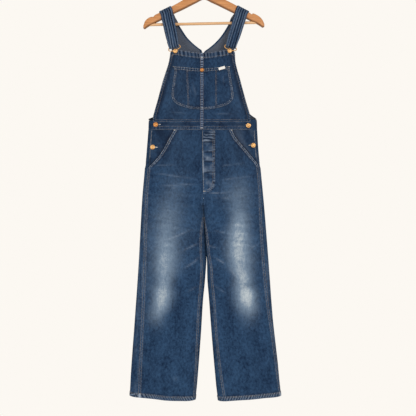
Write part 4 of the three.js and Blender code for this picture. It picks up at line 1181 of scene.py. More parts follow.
def waistband():
    z = falling(evenly(WAIST_TOP, WAIST_BOTTOM, 1.8), WAIST_TOP - 0.8, WAIST_BOTTOM + 0.8)
    left = along(BAND_END, "z", "left", z)
    right = along(BAND_END, "z", "right", z)
    u = np.linspace(0, 1, 130)
    x = left + (right - left) * u
    from_edge = np.minimum(np.minimum(WAIST_TOP - z, z - WAIST_BOTTOM), np.minimum(x - left, right - x))
    gathers = pucker(x + 0.3 * z, 10, 151)
    low_gathers = pucker(x - 0.3 * z, 9, 153)
    upper = np.exp(-((z - WAIST_TOP + 3) / 3) ** 2)
    lower = np.exp(-((z + 564.5) / 5) ** 2)
    lift = 0.5 + 0.15 * gathers * upper + 0.35 * low_gathers * lower + rounded(from_edge)
    worn = upper * np.clip(0.12 * gathers, 0, 1) + lower * np.clip(0.02 + 0.22 * low_gathers, 0, 1)
    worn = worn + 0.2 * np.exp(-((z - WAIST_BOTTOM) / 1.4) ** 2) + 0.06 * noise(157, x, z, 14, 8)
    # Painted shade, with some unfaded dye, in the low parts of the lower gathers; the band is also a little
    # darker overall, with a darker line across its middle.
    dark = 0.1 + lower * np.clip(-0.8 * low_gathers, 0, 1) + 0.4 * np.exp(-((z + 551) / 4) ** 2)
    outer = skin_at(x, z, lift)
    inner = skin_at(x, z, -DOUBLE_CLOTH)
    obj = cloth_shell("denim_waistband_front", outer, inner, DENIM, x, -z, wash_and_shade_of(x, z, False, worn, dark))
    return stands_for(obj, "waistband_front")


BIB_BAND = 20.0
BIB_HEM = 13.0


def bib_half(side):
    sign = -1 if side == "left" else 1
    t = np.concatenate([[0, 0.003], np.linspace(0.012, 0.997, 64), [1.0]])[:, None]
    bottom = WAIST_TOP + GAP
    level = BIB_HIGHEST + (bottom - BIB_HIGHEST) * t
    edge = along(BIB_SIDE, "z", side, level)
    middle = STRIP_X + sign * GAP / 2
    length = np.abs(middle - edge)
    columns = edge_columns([0, 0.8, 3, 6, 9, 11.5, 13, 15, 19], [0, 0.8, 4], 26)
    run = columns[:, 0] + columns[:, 1] * length
    x = edge - sign * run
    top = along(BIB_TOP, "x", "z", x)
    z = top + (bottom - top) * t
    below_top = top - z
    seed = 171 if side == "left" else 181
    hem = 1 - smooth(BIB_HEM - 1, BIB_HEM + 1, run)
    band = 1 - smooth(BIB_BAND - 1, BIB_BAND + 1, below_top)
    gathers = pucker(-z + 0.4 * run, 8, seed)
    edge_row = np.exp(-((run - 2.8) / 2.8) ** 2)
    band_gathers = pucker(x + 0.15 * z, 11, seed + 2)
    lift = np.maximum(hem * (0.6 + 0.2 * gathers), band * (0.7 + 0.45 * band_gathers))
    lift = lift + rounded(run) + rounded(below_top)
    worn = hem * np.clip(0.1 * gathers, 0, 1) + edge_row * np.clip(0.8 * gathers, 0, 1)
    worn = worn + band * np.clip(0.02 + 0.6 * band_gathers, 0, 1)
    worn = worn + 0.25 * np.exp(-(below_top / 1.6) ** 2) + 0.08 * np.exp(-(run / 1.4) ** 2)
    worn = worn + 0.12 * np.exp(-((below_top - BIB_BAND + 2) / 2) ** 2)
    # Painted shade in a band just inside the side hem, in a line under the top band, over the side hem, and
    # in the low parts of the gathers, where some unfaded dye also stays.
    dark = 0.55 * np.exp(-((run - BIB_HEM - 3) / 5) ** 2)
    dark = dark + 0.3 * np.exp(-((below_top - BIB_BAND - 3) / 4) ** 2)
    dark = dark + hem * np.clip(0.35 - 0.5 * gathers, 0, 1)
    dark = dark + edge_row * np.clip(0.2 - 0.9 * gathers, 0, 1)
    dark = dark + band * np.clip(0.1 - 1.4 * band_gathers, 0, 1)
    outer = skin_at(x, z, lift)
    inner = skin_at(x, z, -CLOTH)
    name = "bib_" + side
    obj = cloth_shell("denim_" + name, outer, inner, DENIM, run, -z, wash_and_shade_of(x, z, False, worn, dark))
    return stands_for(obj, name)


def over_pocket(x, z):
    """How far the pocket lifts what lies over it, with a soft ramp at its mouth and bottom."""
    mouth = along(POCKET_MOUTH, "x", "z", x)
    above = 1 - smooth(mouth + 2, mouth + 7, z)
    below = smooth(POCKET_BOTTOM - GAP - 5, POCKET_BOTTOM - GAP, z)
    return above * below * (POCKET_LIFT + 0.3)


def pocket_outline():
    """Points round the sides and bottom of the bib pocket."""
    z = np.concatenate([np.linspace(-345, -460, 60), np.linspace(-460, POCKET_BOTTOM, 60)])
    left = along(POCKET_SIDE, "z", "left", z)
    right = along(POCKET_SIDE, "z", "right", z)
    bottom = np.linspace(left[-1], right[-1], 20)
    down = list(zip(left, z))
    across = [(x, POCKET_BOTTOM) for x in bottom[1:-1]]
    up = list(zip(right[::-1], z[::-1]))
    return down + across + up


POCKET_DIVIDERS = table("x_top x_low", [(-60, -55), (44, 44)])


def bib_pocket():
    z = falling(evenly(-345, -440, 2.6), evenly(-440, POCKET_BOTTOM, 1.6), POCKET_BAND, POCKET_BAND - 1)
    left = along(POCKET_SIDE, "z", "left", z)
    right = along(POCKET_SIDE, "z", "right", z)
    u = np.linspace(0, 1, 88)
    x = left + (right - left) * u
    height = z + smooth(-420, -345, z) * (along(POCKET_MOUTH, "x", "z", x) + 345)
    border, round_run = edge_distance(x, height, pocket_outline())
    band = smooth(POCKET_BAND - 0.8, POCKET_BAND + 0.8, z)
    mouth = np.abs(z + 345)
    gathers = pucker(round_run, 8, 201)
    mouth_gathers = pucker(x, 9, 207)
    edge_zone = np.exp(-((border - 4.6) / 3.4) ** 2)
    grooves = np.zeros(x.shape)
    for i in range(len(POCKET_DIVIDERS["x_top"])):
        line = np.interp(-z, [-POCKET_BAND, 483], [POCKET_DIVIDERS["x_top"][i], POCKET_DIVIDERS["x_low"][i]])
        grooves = grooves + np.exp(-((x - line) / 3.5) ** 2) * (1 - band)
    puff = 1.3 * smooth(2, 30, border) * (1 - band) * (0.6 + 0.4 * noise(205, x, z, 40, 50))
    lift = POCKET_LIFT + 0.6 * band + puff + 0.5 * edge_zone * gathers - 0.4 * grooves
    lift = lift + rounded(border, 1.2) + rounded(mouth, 1.2)
    worn = edge_zone * np.clip(0.6 * gathers, 0, 1) + 0.2 * np.exp(-(mouth / 1.8) ** 2)
    worn = worn + band * np.clip(0.35 * mouth_gathers, 0, 1)
    worn = worn + 0.15 * np.exp(-(border / 1.6) ** 2)
    # Painted shade in a line under the band, in the divider grooves and in the low parts of the gathers, with
    # some unfaded dye; a darker line lies inside the stitched edge.
    dark = 0.2 * np.exp(-((border - 11) / 4) ** 2) + 0.3 * np.exp(-((z - POCKET_BAND + 3) / 3) ** 2)
    dark = dark + edge_zone * np.clip(0.15 - 1.4 * gathers, 0, 1) + 0.12 * grooves
    dark = dark + band * np.clip(0.2 - 1.2 * mouth_gathers, 0, 1)
    outer = skin_at(x, height, lift)
    inner = skin_at(x, height, POCKET_LIFT - CLOTH)
    obj = cloth_shell("denim_bib_pocket", outer, inner, DENIM, x, -z, wash_and_shade_of(x, z, False, worn, dark))
    return stands_for(obj, "bib_pocket")


def centre_strip():
    z = falling(evenly(STRIP_TOP, STRIP_BOTTOM, 2.0))
    across = np.array([-1, -0.85, -0.5, 0, 0.5, 0.85, 1.0])
    x = STRIP_X + STRIP_HALF * across
    rungs = pucker(-z, 8.5, 221)
    base = CLOTH + GAP + over_pocket(x, z) + 0.7
    lift = base + 0.35 * rungs * (1 - across ** 2) - 0.4 * np.abs(across) ** 6
    worn = 0.03 + np.clip(0.05 + 0.8 * rungs, 0, 1) * (1 - across ** 2)
    # Painted shade, with some unfaded dye, between the puckered rungs; their pale tops are worn.
    dark = np.clip(-1.3 * rungs, 0, 1) * (1 - 0.5 * across ** 2)
    outer = skin_at(x, z, lift)
    inner = skin_at(x, z, base - CLOTH)
    obj = cloth_shell("denim_bib_centre_strip", outer, inner, DENIM_WORN, x, -z, (worn * 0, worn, dark))
    return stands_for(obj, "bib_centre_strip")


def fly_placket():
    z = falling(evenly(WAIST_BOTTOM - GAP, FLY_STRAIGHT_TO, 2.2), evenly(FLY_STRAIGHT_TO, FLY_BOTTOM, 1.6))
    centre = along(INNER, "z", "right", z) + GAP
    fall = np.clip((FLY_STRAIGHT_TO - z) / (FLY_STRAIGHT_TO - FLY_BOTTOM), 0, 1)
    width = np.maximum((FLY_RIGHT - centre) * np.sqrt(1 - fall ** 2.2), 7)
    u = np.linspace(0, 1, 28)
    run = width * u
    x = centre + run
    bumps = np.zeros(x.shape)
    for i in range(len(FLY_PATCHES["x"])):
        away = np.hypot(x - FLY_PATCHES["x"][i], z - FLY_PATCHES["z"][i]) / FLY_PATCHES["radius"][i]
        bumps = bumps + FLY_PATCHES["height"][i] * np.exp(-away ** 2)
    wave = (z + 578 + 0.12 * run + 3 * noise(243, x, z, 12, 12)) / 11
    tucks = np.sin(2 * math.pi * wave) * np.exp(-((z + 597) / 16) ** 2) * smooth(0, 8, run)
    tucks = tucks * (0.7 + 0.5 * noise(245, x, z, 14, 9))
    gathers = pucker(-z, 9, 241)
    side_gathers = pucker(-z, 8, 247)
    edge = np.exp(-((run - 1) / 2.6) ** 2)
    stitched = np.exp(-((width - run - 5) / 4) ** 2)
    crumple = noise(249, x, z, 17, 11) + 0.5 * noise(253, x, z, 7, 5)
    creases = np.zeros(x.shape)
    ridges = np.zeros(x.shape)
    for height in FLY_CREASES:
        away = z - height - 0.06 * run - 1.5 * noise(255, x, z, 9, 30)
        creases = creases + np.exp(-(away / 2.2) ** 2)
        ridges = ridges + np.exp(-((away - 5) / 3) ** 2)
    low_edge = np.exp(-((z + 695) / 50) ** 2)
    lift = CLOTH + GAP + 1.3 * tucks + bumps + 0.3 * gathers * edge + 0.5 * crumple * smooth(0, 8, run)
    lift = lift + 0.3 * stitched * side_gathers + rounded(run) + rounded(width - run)
    lift = lift + (0.5 * ridges - 0.6 * creases) * smooth(3, 9, run)
    # Pale tops of the tucks, bumps, crumples and ridges: worn cloth with painted highlights; the left edge is
    # worn.
    worn = edge * np.clip(0.12 + 0.6 * low_edge + 0.2 * gathers, 0, 1) + 0.8 * np.clip(tucks, 0, 1)
    worn = worn + 0.2 * bumps ** 2 * (0.6 + 0.4 * crumple) + 0.2 * np.maximum(crumple, 0)
    worn = worn + stitched * np.clip(0.5 * side_gathers, 0, 1) + 0.22 * ridges * (0.6 + 0.4 * crumple)
    # Painted shade in the tuck and crease troughs and the low parts of the crumples and side gathers.
    dark = 1.5 * np.clip(-tucks, 0, 1) + 0.4 * np.maximum(-crumple, 0)
    dark = dark + stitched * np.clip(-1.6 * side_gathers, 0, 1) + 0.9 * creases * smooth(3, 9, run)
    outer = skin_at(x, z, lift)
    inner = skin_at(x, z, GAP)
    obj = cloth_shell("denim_fly_placket", outer, inner, DENIM, run, -z, wash_and_shade_of(x, z, False, worn, dark))
    return stands_for(obj, "fly_placket")


def blank_label():
    tilt = math.radians(LABEL_TILT)
    u = np.linspace(-0.5, 0.5, 16)
    v = np.linspace(0.5, -0.5, 10)[:, None]
    across = u * LABEL_SIZE[0]
    up = v * LABEL_SIZE[1]
    x = LABEL_PLACE[0] + across * math.cos(tilt) - up * math.sin(tilt)
    z = LABEL_PLACE[1] + across * math.sin(tilt) + up * math.cos(tilt)
    level = POCKET_LIFT + 2.2
    soft = 0.35 * noise(251, x, z, 9, 9)
    outer = skin_at(x, z, level + soft)
    inner = skin_at(x, z, level + soft - 0.7)
    zero = np.zeros(x.shape)
    obj = cloth_shell("label_blank_tape", outer, inner, LABEL, x, -z, (zero, zero, zero))
    return stands_for(obj, "label_blank")


def high_back(side):
    rows = BACK_LEFT if side == "left" else BACK_RIGHT
    sign = -1 if side == "left" else 1
    top = rows["z"][0]
    brow = BACK_BROW[side]
    z = falling(evenly(top, brow, 4.0), brow - 1, brow - 4, evenly(brow - 4, WAIST_BOTTOM, 4.0))
    shape = section(side, z)
    neck = along(rows, "z", "neck", z)
    middle = along(INNER, "z", side, z) * smooth(NECK_POINT, -400, z) + sign * GAP / 2
    inside = np.where(z < NECK_POINT, middle, neck)
    arm = along(rows, "z", "arm", z)
    start = 6 - turn_across(shape, (shape["outer"] - inside) * shape["sign"])
    wrap = np.where(z <= brow - 4, turn_at_inset(shape, BIB_EDGE_BEHIND + 14), 0)
    arm_turn = 6 - turn_across(shape, (shape["outer"] - arm) * shape["sign"])
    end = np.where(z <= brow - 1, 6 + wrap, arm_turn)
    across = edge_columns([0, 0.8, 3, 6, 8, 12], [0, 0.8, 3, 6, 10, 12], 30)
    s, run, length = turns_along(shape, start, end, across)
    rest = length - run
    under = smooth(-520, brow - 2, z) * EXTENSION_DROP * smooth(5.8, 6.25, s)
    flat = skin(side, z, s)
    neck_band = (1 - smooth(6, 8, run)) * (z > NECK_POINT - 4)
    arm_band = (1 - smooth(9, 11, rest)) * (z > brow)
    seam = (1 - smooth(8, 10, run)) * (z <= NECK_POINT - 4)
    gathers = pucker(-z + 0.4 * run, 9, 261)
    lift = 0.7 * np.maximum(neck_band, arm_band) + seam * (0.5 + 0.35 * gathers)
    lift = lift + rounded(run) + rounded(rest)
    worn = seam * np.clip(0.2 + 0.4 * gathers, 0, 1) + 0.25 * np.exp(-(rest / 1.6) ** 2)
    outer = skin(side, z, s, lift - under)
    inner = skin(side, z, s, -CLOTH - under - 0.5 * neck_band)
    name = "back_high_" + side
    wash_and_shade = wash_and_shade_of(flat[..., 0], z, True, worn, 0.0)
    obj = cloth_shell("denim_" + name, outer, inner, DENIM, run, -z, wash_and_shade, 1 - neck_band)
    return stands_for(obj, name)


# Straps

WOOD_SQUARE = 0.7


def strap_rows(side):
    """Rows of a strap: centre point, tilt and width, from its tail behind the bar to its sewn end."""
    strap = STRAPS[side]
    rows = []
    slope = strap["slope"]
    bar_tilt = strap["bar_tilt"]
    loop = WIRE_RADIUS + 2 * GAP + STRAP_CLOTH
    bar_x, bar_z = strap["bar"]
    up_x = -math.sin(math.radians(bar_tilt))
    up_z = math.cos(math.radians(bar_tilt))
    arm_top = float(along(WOOD, "x", "top", strap["shoulder_x"]))
    lean_x = math.sin(math.radians(slope))
    lean_z = math.cos(math.radians(slope))
    arch_x = strap["shoulder_x"] + lean_x * WOOD_HALF_THICKNESS
    arch_z = arm_top - lean_z * WOOD_HALF_THICKNESS
    arch = WOOD_HALF_THICKNESS + 1.1 + STRAP_CLOTH
    for tail, out in ((STRAP_TAIL, 1.5), (10, 0.4)):
        place = (bar_x + up_x * tail, BAR_DEPTH + loop + out, bar_z + up_z * tail)
        rows.append((*place, bar_tilt, STRAP_WIDTH_END))
    for angle in np.linspace(0, math.pi, 9):
        out = loop * math.cos(angle)
        down = loop * math.sin(angle)
        rows.append((bar_x - up_x * down, BAR_DEPTH + out, bar_z - up_z * down, bar_tilt, STRAP_WIDTH_END))
    for t in (0.12, 0.28, 0.46, 0.64, 0.82, 1.0):
        ease = float(smooth(0.55, 1, t))
        widen = float(smooth(0, 0.4, t))
        width = STRAP_WIDTH_END + (STRAP_WIDTH_MID - STRAP_WIDTH_END) * widen
        width += (STRAP_WIDTH_TOP - STRAP_WIDTH_MID) * ease
        y = BAR_DEPTH - loop + (-BAR_DEPTH + loop - arch) * min(1, t * 1.15)
        tilt = bar_tilt * (1 - ease) + slope * ease
        rows.append((bar_x + (arch_x - bar_x) * t, y, bar_z + (arch_z - bar_z) * t, tilt, width))
    for i in range(1, 12):
        angle = math.pi * i / 12
        lift = arch * math.sin(angle) ** WOOD_SQUARE
        y = -arch * math.copysign(abs(math.cos(angle)) ** WOOD_SQUARE, math.cos(angle))
        rows.append((arch_x - lean_x * lift, y, arch_z + lean_z * lift, slope, STRAP_WIDTH_TOP))
    tip_x, tip_z = strap["back"]
    end_x, end_z = strap["back_end"]
    back_tilt = strap["back_tilt"]

    def depth_at(x, z):
        return float(skin_at(x, z, GAP + STRAP_CLOTH + 1.8, True)[1])

    rows.append((arch_x, arch, arch_z, slope, STRAP_WIDTH_TOP))
    between_y = max(arch, depth_at(tip_x, tip_z)) + 0.3
    between_x = (arch_x + tip_x) / 2
    between_z = (arch_z + tip_z) / 2
    between_tilt = (slope + back_tilt) / 2
    rows.append((between_x, between_y, between_z, between_tilt, STRAP_WIDTH_MID))
    for t in (0, 0.5, 1):
        x = tip_x + (end_x - tip_x) * t
        z = tip_z + (end_z - tip_z) * t
        rows.append((x, depth_at(x, z), z, back_tilt, STRAP_WIDTH_MID))
    return np.array(rows)


def spline(points, spacing):
    """Rows of numbers joined by a smooth curve and spaced evenly along its first three columns."""
    steps = np.linalg.norm(np.diff(points[:, :3], axis=0), axis=1)
    keys = np.concatenate([[0], np.cumsum(np.maximum(steps, 1e-6))])
    slopes = np.gradient(points, keys, axis=0)
    count = max(4, int(keys[-1] / spacing))
    at = np.linspace(0, keys[-1], count)
    i = np.clip(np.searchsorted(keys, at, side="right") - 1, 0, len(keys) - 2)
    span = (keys[i + 1] - keys[i])[:, None]
    t = (at - keys[i])[:, None] / span
    return ((2 * t ** 3 - 3 * t ** 2 + 1) * points[i] + (t ** 3 - 2 * t ** 2 + t) * span * slopes[i]
            + (3 * t ** 2 - 2 * t ** 3) * points[i + 1] + (t ** 3 - t ** 2) * span * slopes[i + 1])


def unit(vectors):
    return vectors / np.maximum(np.linalg.norm(vectors, axis=-1, keepdims=True), 1e-9)


# Distance between the long creases of a strap
STRAP_RIDGES = 8.6
STRAP_ACROSS = np.concatenate([[0, 0.7], np.arange(1.6, 22.5, 1.1)])


def strap_frame(side):
    rows = spline(strap_rows(side), 2.0)
    centres = rows[:, :3]
    tilt = np.radians(rows[:, 3])
    across = np.stack([np.cos(tilt), np.zeros(len(rows)), np.sin(tilt)], axis=1)
    forward = unit(np.gradient(centres, axis=0))
    normals = unit(np.cross(across, forward))
    run = np.concatenate([[0], np.cumsum(np.linalg.norm(np.diff(centres, axis=0), axis=1))])
    return centres, across, normals, rows[:, 4], run


def strap_surface(frame_rows, offsets, lift):
    """Points at given distances from a strap's middle, lifted off its outer face."""
    centres, across, normals, _, _ = frame_rows
    return centres[:, None] + across[:, None] * offsets[..., None] + normals[:, None] * lift[..., None]


def strap(side):
    rows = strap_frame(side)
    width = rows[3][:, None]
    run = rows[4][:, None]
    half = width / 2
    scale = half / (STRAP_WIDTH_TOP / 2)
    near = STRAP_ACROSS * scale
    offsets = np.concatenate([-half + near, (half - near)[:, ::-1]], axis=1)
    from_edge = half - np.abs(offsets)
    seed = 281 if side == "left" else 291
    gathers = pucker(run + 30 * np.sign(offsets), 9, seed)
    inner_gathers = pucker(run + 50 * np.sign(offsets), 10, seed + 2)
    outer_row = np.exp(-((from_edge - 4) / 2) ** 2)
    inner_row = np.exp(-((from_edge - 12) / 2) ** 2)
    wander = 1.2 * noise(seed + 6, run, offsets * 0, 60, 1)
    channels = 0.7 * np.cos(2 * math.pi * (offsets + wander) / STRAP_RIDGES)
    channels = channels + 0.6 * noise(seed + 4, run, offsets + wander, 90, 3.2)
    lift = 0.25 * outer_row * gathers - 0.4 * inner_row * (1 - 0.3 * inner_gathers) + rounded(from_edge)
    lift = lift + 0.5 * channels * smooth(0, 4, from_edge)
    worn = 0.2 * np.exp(-(from_edge / 1.4) ** 2) + 0.42 * np.clip(channels - 0.15, 0, 1)
    worn = worn + outer_row * np.clip(0.15 * gathers, 0, 1)
    # Painted shade in the inner stitch row's groove, the low parts of the gathers, and between the long
    # creases.
    dark = 0.3 * inner_row + 0.15 * outer_row * np.clip(-gathers, 0, 1) + 1.2 * np.clip(0.1 - channels, 0, 1)
    outer = strap_surface(rows, offsets, lift)
    inner = strap_surface(rows, offsets, np.full(offsets.shape, -STRAP_CLOTH))
    wash_and_shade = (0.02 * np.ones(offsets.shape), worn, dark)
    obj = cloth_shell("denim_strap_" + side, outer, inner, DENIM, offsets, run, wash_and_shade)
    return stands_for(obj, "strap_" + side)


# Stitching: each stitch is a small spindle of thread, and many are joined in one mesh

STITCH_LENGTH = 2.5
STITCH_PITCH = 3.3
STITCH_RADIUS = 0.42


def run_points(points, spacing):
    """Evenly spaced places along a line of points."""
    steps = np.linalg.norm(np.diff(points, axis=0), axis=1)
    keys = np.concatenate([[0], np.cumsum(steps)])
    at = np.arange(spacing / 2, keys[-1], spacing)
    return np.stack([np.interp(at, keys, points[:, k]) for k in range(points.shape[1])], axis=1)


def stitch_run(points, normals, pitch=STITCH_PITCH):
    """Middle, direction and normal of each stitch along a line."""
    both = run_points(np.concatenate([points, normals], axis=1), pitch)
    ahead = unit(np.gradient(both[:, :3], axis=0))
    return both[:, :3], ahead, unit(both[:, 3:])


def cross_run(points, normals, pitch):
    """The same with each stitch lying across the line, as in a bar tack or a buttonhole."""
    middle, ahead, up = stitch_run(points, normals, pitch)
    return middle, unit(np.cross(up, ahead)), up


def stitches(name, runs, material, length=STITCH_LENGTH, radius=STITCH_RADIUS):
    middle = np.concatenate([r[0] for r in runs])
    ahead = np.concatenate([r[1] for r in runs])
    up = np.concatenate([r[2] for r in runs])
    beside = unit(np.cross(ahead, up))
    rings = []
    for along_share, size in ((-1, 0.25), (-0.6, 1), (0.6, 1), (1, 0.25)):
        for angle in (45, 135, 225, 315):
            c = math.cos(math.radians(angle)) * radius * size
            s = math.sin(math.radians(angle)) * radius * size * 0.8
            rings.append(middle + ahead * along_share * length / 2 + beside * c + up * s)
    vertices = np.stack(rings, axis=1).reshape(-1, 3)
    pattern = [(0, 1, 2, 3), (15, 14, 13, 12)]
    for ring in range(3):
        for k in range(4):
            a = ring * 4 + k
            b = ring * 4 + (k + 1) % 4
            pattern.append((a, a + 4, b + 4, b))
    faces = (np.arange(len(middle))[:, None, None] * 16 + np.array(pattern)[None]).reshape(-1, 4)
    obj = new_object(name, vertices, faces.tolist(), material, 80)
    return obj


def front_line(x, z, lift, behind=False):
    """Points and normals of a line on the front or back of the garment."""
    points = skin_at(x, z, lift, behind)
    normals = skin_at(x, z, lift + 1.0, behind) - points
    return points, unit(normals)


def polyline(corners, spacing=2.0):
    pairs = np.array(corners, float)
    fine = run_points(pairs, spacing)
    fine = np.concatenate([pairs[:1], fine, pairs[-1:]])
    return fine[:, 0], fine[:, 1]


def leg_line(side, heights, distance, from_inner, lift, front=True):
    """A line down a leg at a distance from its outer or inner seam."""
    z = heights[:, None]
    shape = section(side, z)
    if from_inner:
        edge = turn_at_inner(along(SEAM_INSET, "z", side + "_inner", z))
        start, end = (edge, edge * 0 + 1.5) if front else (edge, edge * 0 + 4.5)
    else:
        slant = (shape["outer"] - along(SLANT, "z", side, z)) * shape["sign"]
        seam = along(SEAM_INSET, "z", side + "_outer", z)
        start = turn_at_inset(shape, np.where(z > OPENING_BOTTOM, slant, seam))
        end = start * 0 + 2.5
    s, _, _ = turns_along(shape, start, end, np.array([(distance, 0.0)]))
    points = skin(side, z, s, lift)[:, 0]
    normals = skin(side, z, s, lift + 1.0)[:, 0] - points
    points[:, 2] += hem_shift(points[:, 0], heights)
    return points, unit(normals)


def seam_stitches():
    """Double rows on the felled leg seams, and one on each hem."""
    runs = []
    for side in ("left", "right"):
        heights = evenly(OPENING_BOTTOM, HEM + 2, 3)
        for distance in (2.2, 9.4):
            points, normals = leg_line(side, heights, distance, False, FELL_RAISE + 0.2)
            runs.append(stitch_run(points, normals))
        low = evenly(CROTCH_BOTTOM - 10, HEM + 2, 3)
        for distance in (2.0, 8.2):
            points, normals = leg_line(side, low, distance, True, 0.7)
            runs.append(stitch_run(points, normals))
        for up in (HEM_STITCHED - 4.5, HEM_STITCHED - 1):
            runs.append(hem_stitches(side, up))
    return stitches("stitches_leg_seams", runs, THREAD)


def hem_stitches(side, up):
    z = np.array([[HEM + up]])
    shape = section(side, z)
    columns = np.stack([np.zeros(220), np.linspace(0, 1, 220)], axis=1)
    s, _, _ = turns_along(shape, z * 0 + 0.02, z * 0 + 5.98, columns)
    points = skin(side, z, s, HEM_EXTRA + 0.25)[0]
    normals = skin(side, z, s, HEM_EXTRA + 1.25)[0] - points
    points[:, 2] += hem_shift(points[:, 0], z[0, 0])
    return stitch_run(points, unit(normals))


def slant_stitches():
    runs = []
    for side in ("left", "right"):
        heights = evenly(WAIST_BOTTOM - 2, OPENING_BOTTOM + 2, 2.5)
        for distance in (2.2, 9.4):
            points, normals = leg_line(side, heights, distance, False, FELL_RAISE + 0.25)
            runs.append(stitch_run(points, normals))
        edge = 12 if side == "left" else 10
        z = evenly(WAIST_BOTTOM - 2, OPENING_BOTTOM + 34, 2.5)
        turn = turn_at_inset(section(side, z), np.full(z.shape, edge + 3.5))
        points = skin(side, z, turn, 0.3 - FACING_DROP)
        normals = skin(side, z, turn, 1.3 - FACING_DROP) - points
        runs.append(stitch_run(points, unit(normals)))
    return stitches("stitches_hip_pockets", runs, THREAD_LIGHT)


def band_stitches():
    """Three rows on the waistband, and those on the bib's edges."""
    runs = []
    for height in (-535.2, -541.8, -559.4, -569.3):
        x = np.linspace(-180, 165, 180)
        points, normals = front_line(x, np.full(x.shape, height), 0.75 if height < WAIST_TOP else 0.2)
        runs.append(stitch_run(points, normals))
    for side, sign in (("left", -1), ("right", 1)):
        z = evenly(-300, WAIST_TOP - 1, 3)
        edge = along(BIB_SIDE, "z", side, z)
        for distance in (2.2, 10.8):
            runs.append(stitch_run(*front_line(edge - sign * distance, z, 0.85)))
    x = np.linspace(-117, 108, 120)
    top = along(BIB_TOP, "x", "z", x)
    for distance in (2.4, 17.5):
        runs.append(stitch_run(*front_line(x, top - distance, 0.9)))
    return stitches("stitches_bib_and_waist", runs, THREAD, 2.3, 0.36)


def pocket_stitches():
    runs = []
    outline = np.array(pocket_outline())
    middle = np.array([-8, -420])
    for inset in (2.2, 7.2):
        inward = middle - outline
        ahead = unit(np.gradient(outline, axis=0))
        side = np.stack([-ahead[:, 1], ahead[:, 0]], axis=1)
        facing = np.sign(np.sum(side * inward, axis=1, keepdims=True))
        line = outline + side * facing * inset
        keep = (line[:, 1] < -347) & (line[:, 1] > POCKET_BOTTOM)
        runs.append(stitch_run(*front_line(line[keep, 0], line[keep, 1], POCKET_LIFT + 0.5)))
    x = np.linspace(-103, 90, 110)
    mouth = along(POCKET_MOUTH, "x", "z", x)
    for distance in (2.2, 9.6):
        runs.append(stitch_run(*front_line(x, mouth - distance, POCKET_LIFT + 0.9)))
    dividers = []
    for i in range(len(POCKET_DIVIDERS["x_top"])):
        for offset in (-1.9, 1.9):
            top = POCKET_DIVIDERS["x_top"][i] + offset
            low = POCKET_DIVIDERS["x_low"][i] + offset
            x, z = polyline([(top, POCKET_BAND - 2), (low, -484)])
            border, _ = edge_distance(x, z, outline)
            points, normals = front_line(x, z, POCKET_LIFT + 0.1 + 1.0 * smooth(2, 30, border))
            dividers.append(stitch_run(points, normals))
    stitches("stitches_pocket_dividers", dividers, THREAD, 2.2, 0.36)
    return stitches("stitches_bib_pocket", runs, THREAD_LIGHT, 2.2, 0.36)


def fly_stitches():
    runs = []
    for inset in (0.0, 5.0):
        right = FLY_RIGHT - 4 - inset
        corners = [(right, WAIST_BOTTOM - 2), (right, -745)]
        for angle in np.linspace(0, 90, 9):
            c = math.cos(math.radians(angle))
            s = math.sin(math.radians(angle))
            corners.append((6 + (right - 6) * c, -745 - (47 - inset) * s))
        x, z = polyline(corners)
        runs.append(stitch_run(*front_line(x, z, CLOTH + GAP + 0.3)))
    z = evenly(WAIST_BOTTOM - 2, -795, 3)
    x = along(INNER, "z", "right", z) + 1.9
    runs.append(stitch_run(*front_line(x, z, CLOTH + GAP + 0.3)))
    return stitches("stitches_fly", runs, THREAD)


def strip_stitches():
    runs = []
    z = evenly(STRIP_TOP - 1, STRIP_BOTTOM + 1, 2.5)
    for offset in (-4.4, 4.4):
        x = np.full(z.shape, STRIP_X + offset)
        runs.append(stitch_run(*front_line(x, z, CLOTH + GAP + 0.8 + over_pocket(x, z))))
    return stitches("stitches_centre_strip", runs, THREAD)


def back_stitches():
    """Rows on the high back, its neckline and armholes, the seat seam and the back waist."""
    runs = []
    z = evenly(-290, -800, 3)
    centre = along(INNER, "z", "left", z)
    for offset in (-6.5, 6.5):
        runs.append(stitch_run(*front_line(centre + offset, z, 0.95, True)))
    for rows, sign in ((BACK_LEFT, -1), (BACK_RIGHT, 1)):
        z = evenly(rows["z"][0] - 6, NECK_POINT, 2.5)
        runs.append(stitch_run(*front_line(along(rows, "z", "neck", z) + sign * 5, z, 0.95, True)))
        z = evenly(rows["z"][0] - 6, -500, 3)
        runs.append(stitch_run(*front_line(along(rows, "z", "arm", z) - sign * 8.5, z, 0.95, True)))
    x = np.linspace(-170, 160, 160)
    for height in (-545, -566, -576):
        runs.append(stitch_run(*front_line(x, np.full(x.shape, height), 0.3, True)))
    return stitches("stitches_back", runs, THREAD)


def strap_stitches():
    runs = []
    for side in ("left", "right"):
        rows = strap_frame(side)
        half = rows[3][:, None] / 2
        for distance in (3.5, 12.0):
            for hand in (-1, 1):
                offset = hand * (half - distance * half / (STRAP_WIDTH_TOP / 2))
                points = strap_surface(rows, offset, np.full(offset.shape, 0.15))[:, 0]
                runs.append(stitch_run(points, rows[2]))
    return stitches("stitches_straps", runs, THREAD_BLUE, 2.8, 0.35)


BARTACKS = table("x z length lift", [
    (-7, -314, 9, 3.2),
    (-7, -494, 9, 5.4),
    (-7, -565, 9, 3.0),
    (-107, -346.5, 6, 3.6),
    (89, -346.5, 6, 3.6),
    (2, -790, 8, 2.4),
    (-104, -573, 6, 1.8),
    (99, -573, 6, 1.8),
])
BUTTONHOLE_HALF = 3.4
BUTTONHOLES = table("x1 x2 z lift", [
    (-170.8, -153.7, -552.6, 1.2),
    (-181.8, -164, -633.5, -1.6),
    (158.7, 146.2, -554, 1.2),
    (176.1, 159.4, -626, -1.6),
])


